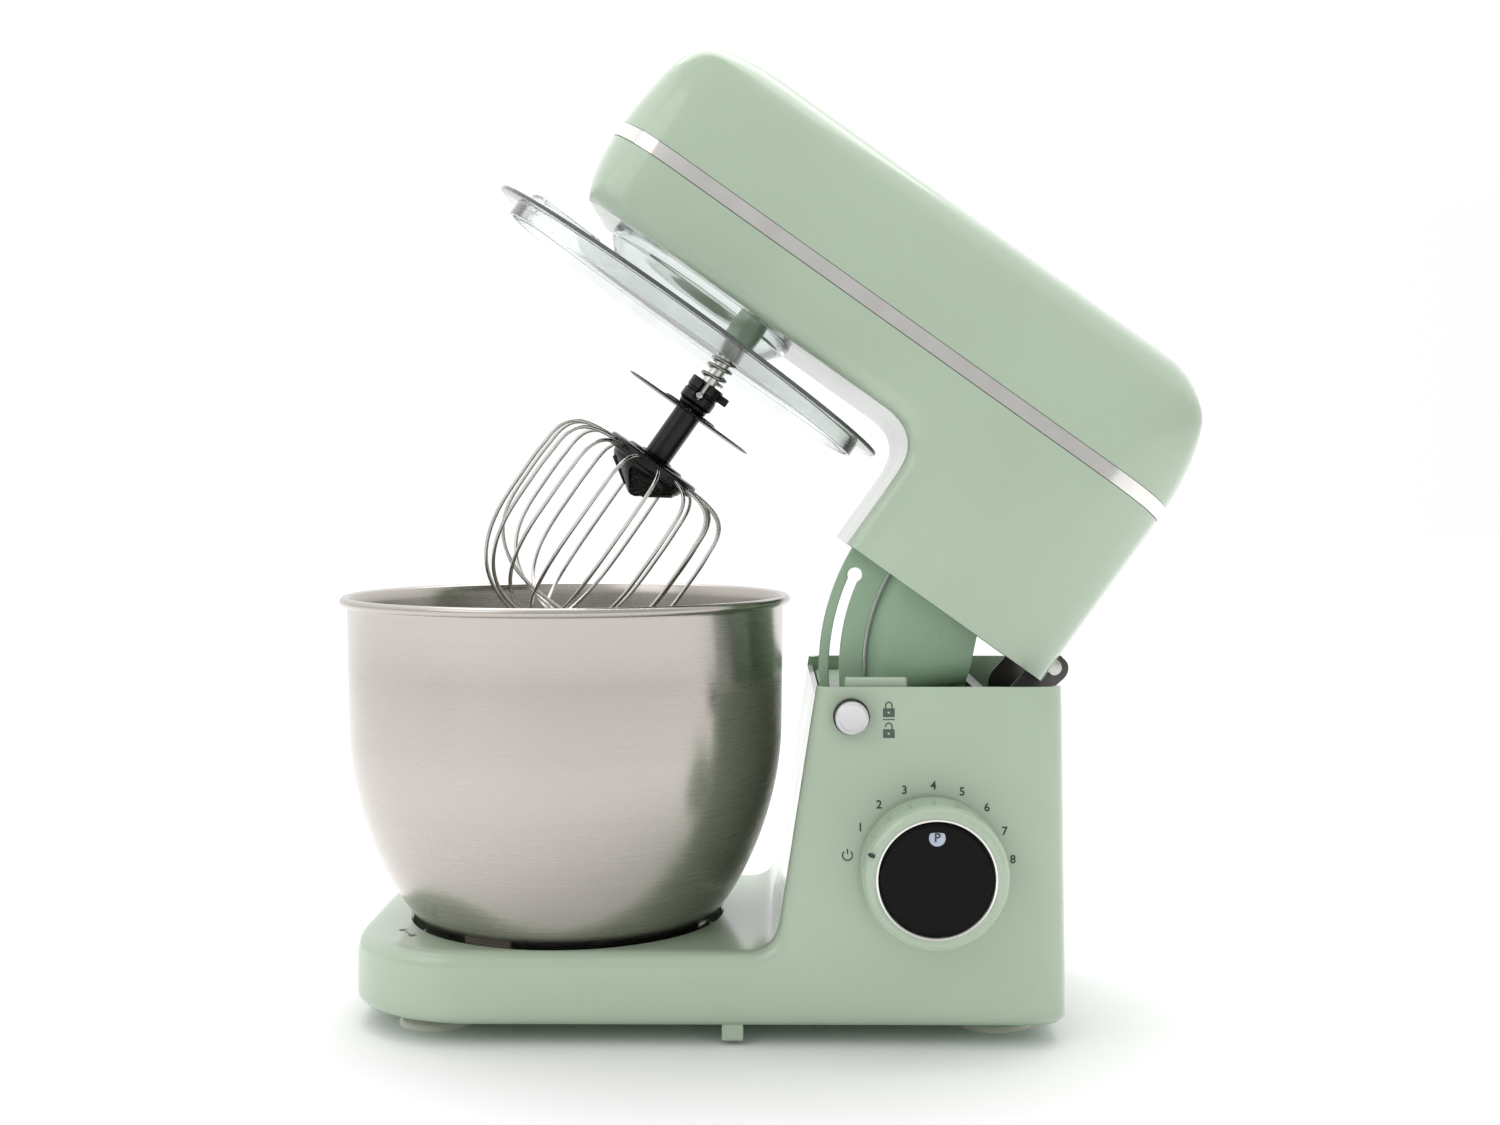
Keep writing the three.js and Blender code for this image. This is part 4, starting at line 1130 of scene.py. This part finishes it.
def whisk_collar():
    x = TOOL_X
    profile = [(0, 142), (7, 142), (7, 172.8), (7.7, 173.4), (7.7, 175.2), (9, 176.2), (9, 181), (8.5, 181.4)]
    profile += [(8.5, 182.4), (9, 182.8), (9, 188), (4.4, 188), (4.4, 176), (0, 176)]
    tube = turned("whisk_socket", profile, x=x, sides=96, ease=(0.35, 3))
    slot = block("slot_way", (x - 2.3, -12, 178.2), (x + 2.3, 12, 189))
    place(boolean(tube, [slot]), "whisk", "black", ["whisk_collar"])
    lug = block("socket_lug", (x + 8, -2.5, 183), (x + 13.5, 2.5, 187), 0.6)
    place(lug, "whisk", "black")
    disc = [(7.3, 169.8), (34, 169.8), (36, 170.3), (36, 170.8)]
    disc += [(34, 171.2), (16, 171.4), (14, 172.6), (7.3, 172.6)]
    disc = turned("socket_disc", disc, x=x, sides=160, ease=(0.25, 3))
    place(disc, "whisk", "black", ["whisk_disc"])


def whisk_hub():
    x, r = TOOL_X, WHISK["hub_r"]
    profile = [(0, 119.6), (2.2, 120.2), (18.5, 131.4), (20, 133.4), (20.4, 135.2), (r - 0.6, 135.4)]
    profile += [(r, 136.2), (r, 140.4), (r - 0.8, 141.2), (16, 141.4), (15, 142.6), (9, 142.8)]
    profile += [(8, 143.6), (0, 143.6)]
    hub = turned("hub_body", profile, x=x, sides=128, ease=(0.4, 3))
    place(hub, "whisk", "black", ["whisk_hub"], sharp=30)
    ribs = []
    for i in range(8):
        rib = plate("rib", [[(6, 123), (19.2, 131.2), (19.2, 135.2), (6, 135.2)]], "XZ", 0, 1.3, 0.2)
        turn = Matrix.Rotation(math.pi * (i + 0.5) / 4, 4, "Z")
        rib.data.transform(Matrix.Translation((x, 0, -0.9)) @ turn)
        ribs.append(rib)
    place(joined("hub_ribs", ribs), "whisk", "black")


def whisk_wire(number):
    """One loop: out of the hub's side, over a round shoulder, down and across under the axis, and back."""
    w = WHISK
    angle = math.pi * (number + 0.5) / w["loops"]
    tip = w["tip"] + number * w["nesting"]
    inner = w["hub_r"] - 3
    half = [(inner, 138.6), *bezier((inner, 138.6), (44, 138.4), (50.4, 134), (50.4, 118), 16)]
    half += bezier((50.4, 118), (51.4, 108), (w["r"], 102), (w["r"], w["widest"]), 8)
    steps = 20
    flat = 2 / 2.7
    for i in range(1, steps + 1):
        u = math.pi / 2 * i / steps
        r = w["r"] * max(math.cos(u), 0) ** flat
        half.append((r, w["widest"] - (w["widest"] - tip) * math.sin(u) ** flat))
    whole = [(r, z) for r, z in half] + [(-r, z) for r, z in reversed(half[:-1])]
    points = [(TOOL_X + r * math.cos(angle), r * math.sin(angle), z) for r, z in whole]
    made = wire("whisk_loop_%d" % (number + 1), points, w["wire_r"])
    place(made, "whisk", "bright_steel", ["whisk_wire_%d" % (number + 1)], sharp=60)


# ---------------------------------------------------------------- pieces kept from the frame
INNER = {
    "lock_pin": "bright_steel",
    "control_board": "board",
    "speed_switch": "black",
    "knob_shaft": "nylon",
    "head_chassis": "dark_steel",
    "gearbox_housing": "cast",
    "ring_gear": "nylon",
    "spindle_bearing": "bright_steel",
    "motor_can": "dark_steel",
    "drive_belt": "rubber",
    "motor_rotor": "winding",
    "motor_shaft": "bright_steel",
    "small_pulley": "black",
    "cooling_fan": "nylon",
    "carrier_spindle": "bright_steel",
    "large_pulley": "black",
    "planet_gear": "nylon",
}


def dress_inner_pieces():
    for node, material in INNER.items():
        mesh = frame["nodes"][node].data
        mesh.materials.clear()
        mesh.materials.append(MATERIALS[material])


# ---------------------------------------------------------------- studio
# How bright the surroundings are at each bearing from straight behind the object, +Y, turning towards +X;
# the camera looks from 180.
FRONT_LIGHT = 0.6
PANELS = [
    (-140, 0.66),
    (-126, 0.64),
    (-121, 0.32),
    (-116, 0.66),
    (-90, 0.9),
    (0, 1.04),
    (90, 0.85),
    (118, 0.5),
    (150, 0.54),
    (180, 0.6),
]
OVERHEAD = 1.5


def camera():
    data = bpy.data.cameras.new("camera")
    data.lens = 41.28
    data.sensor_width = 36
    data.clip_start = 0.02
    made = linked("camera", data)
    made.location = (ZERO * MM, -0.870, 0.257)
    made.rotation_euler = (math.radians(90 - 2.35), 0, math.radians(0.5))
    bpy.context.scene.camera = made


def area_light(name, at, towards, size, power):
    data = bpy.data.lights.new(name, "AREA")
    data.shape = "RECTANGLE"
    data.size, data.size_y = size
    data.energy = power
    made = linked(name, data)
    made.location = at
    made.rotation_euler = (Vector(towards) - Vector(at)).to_track_quat("-Z", "Y").to_euler()


def surround():
    """A white studio seen in reflections: brighter overhead, with dimmer gaps between its panels."""
    world = bpy.data.worlds.new("studio")
    bpy.context.scene.world = world
    world.use_nodes = True
    tree = world.node_tree
    nodes, links = tree.nodes, tree.links
    where = nodes.new("ShaderNodeTexCoord")
    split = nodes.new("ShaderNodeSeparateXYZ")
    links.new(where.outputs["Generated"], split.inputs["Vector"])
    turn = nodes.new("ShaderNodeMath")
    turn.operation = "ARCTAN2"
    links.new(split.outputs["X"], turn.inputs[0])
    links.new(split.outputs["Y"], turn.inputs[1])
    panels = nodes.new("ShaderNodeValToRGB")
    links.new(mapped(tree, turn.outputs["Value"], -math.pi, math.pi, 0, 1), panels.inputs["Fac"])
    stops = panels.color_ramp.elements
    while len(stops) > 1:
        stops.remove(stops[-1])
    stops[0].position, stops[0].color = 0, (FRONT_LIGHT, FRONT_LIGHT, FRONT_LIGHT, 1)
    for degrees, light in PANELS:
        stop = stops.new((degrees + 180) / 360)
        stop.color = (light, light, light, 1)
    overhead = mapped(tree, split.outputs["Z"], 0.15, 0.8, 1.0, OVERHEAD)
    background = nodes["Background"]
    links.new(panels.outputs["Color"], background.inputs["Color"])
    links.new(overhead, background.inputs["Strength"])


def studio():
    bpy.context.scene.view_settings.view_transform = "Standard"
    surround()
    floor = block("studio_floor", (-9, -9, -0.02), (9, 9, 0))
    material = principled("floor", linear(250, 250, 250), 0.9)
    varied(material, linear(248, 248, 248), 0.01, 3.0)
    floor.data.materials.append(material)
    area_light("key", (-0.9, -0.75, 0.9), (0, 0, 0.25), (0.8, 0.8), 2.2)
    area_light("top", (0, 0.5, 1.9), (0, 0, 0.2), (2.0, 1.4), 17)


# ---------------------------------------------------------------- the whole mixer
camera()
studio()
base_housing()
base_plate()
feet()
cable_clip()
cord_gland()
column_top()
hinge()
release_button()
speed_knob()
pulse_disc()
speed_marks()
lock_marks()
tray_marks()
bowl()
head_shells()
neck_floor()
tilt_quadrant()
swivel_guard()
splash_lid()
lid_collar()
planet_disc()
tool_shaft()
whisk_collar()
whisk_hub()
for number in range(WHISK["loops"]):
    whisk_wire(number)
dress_inner_pieces()
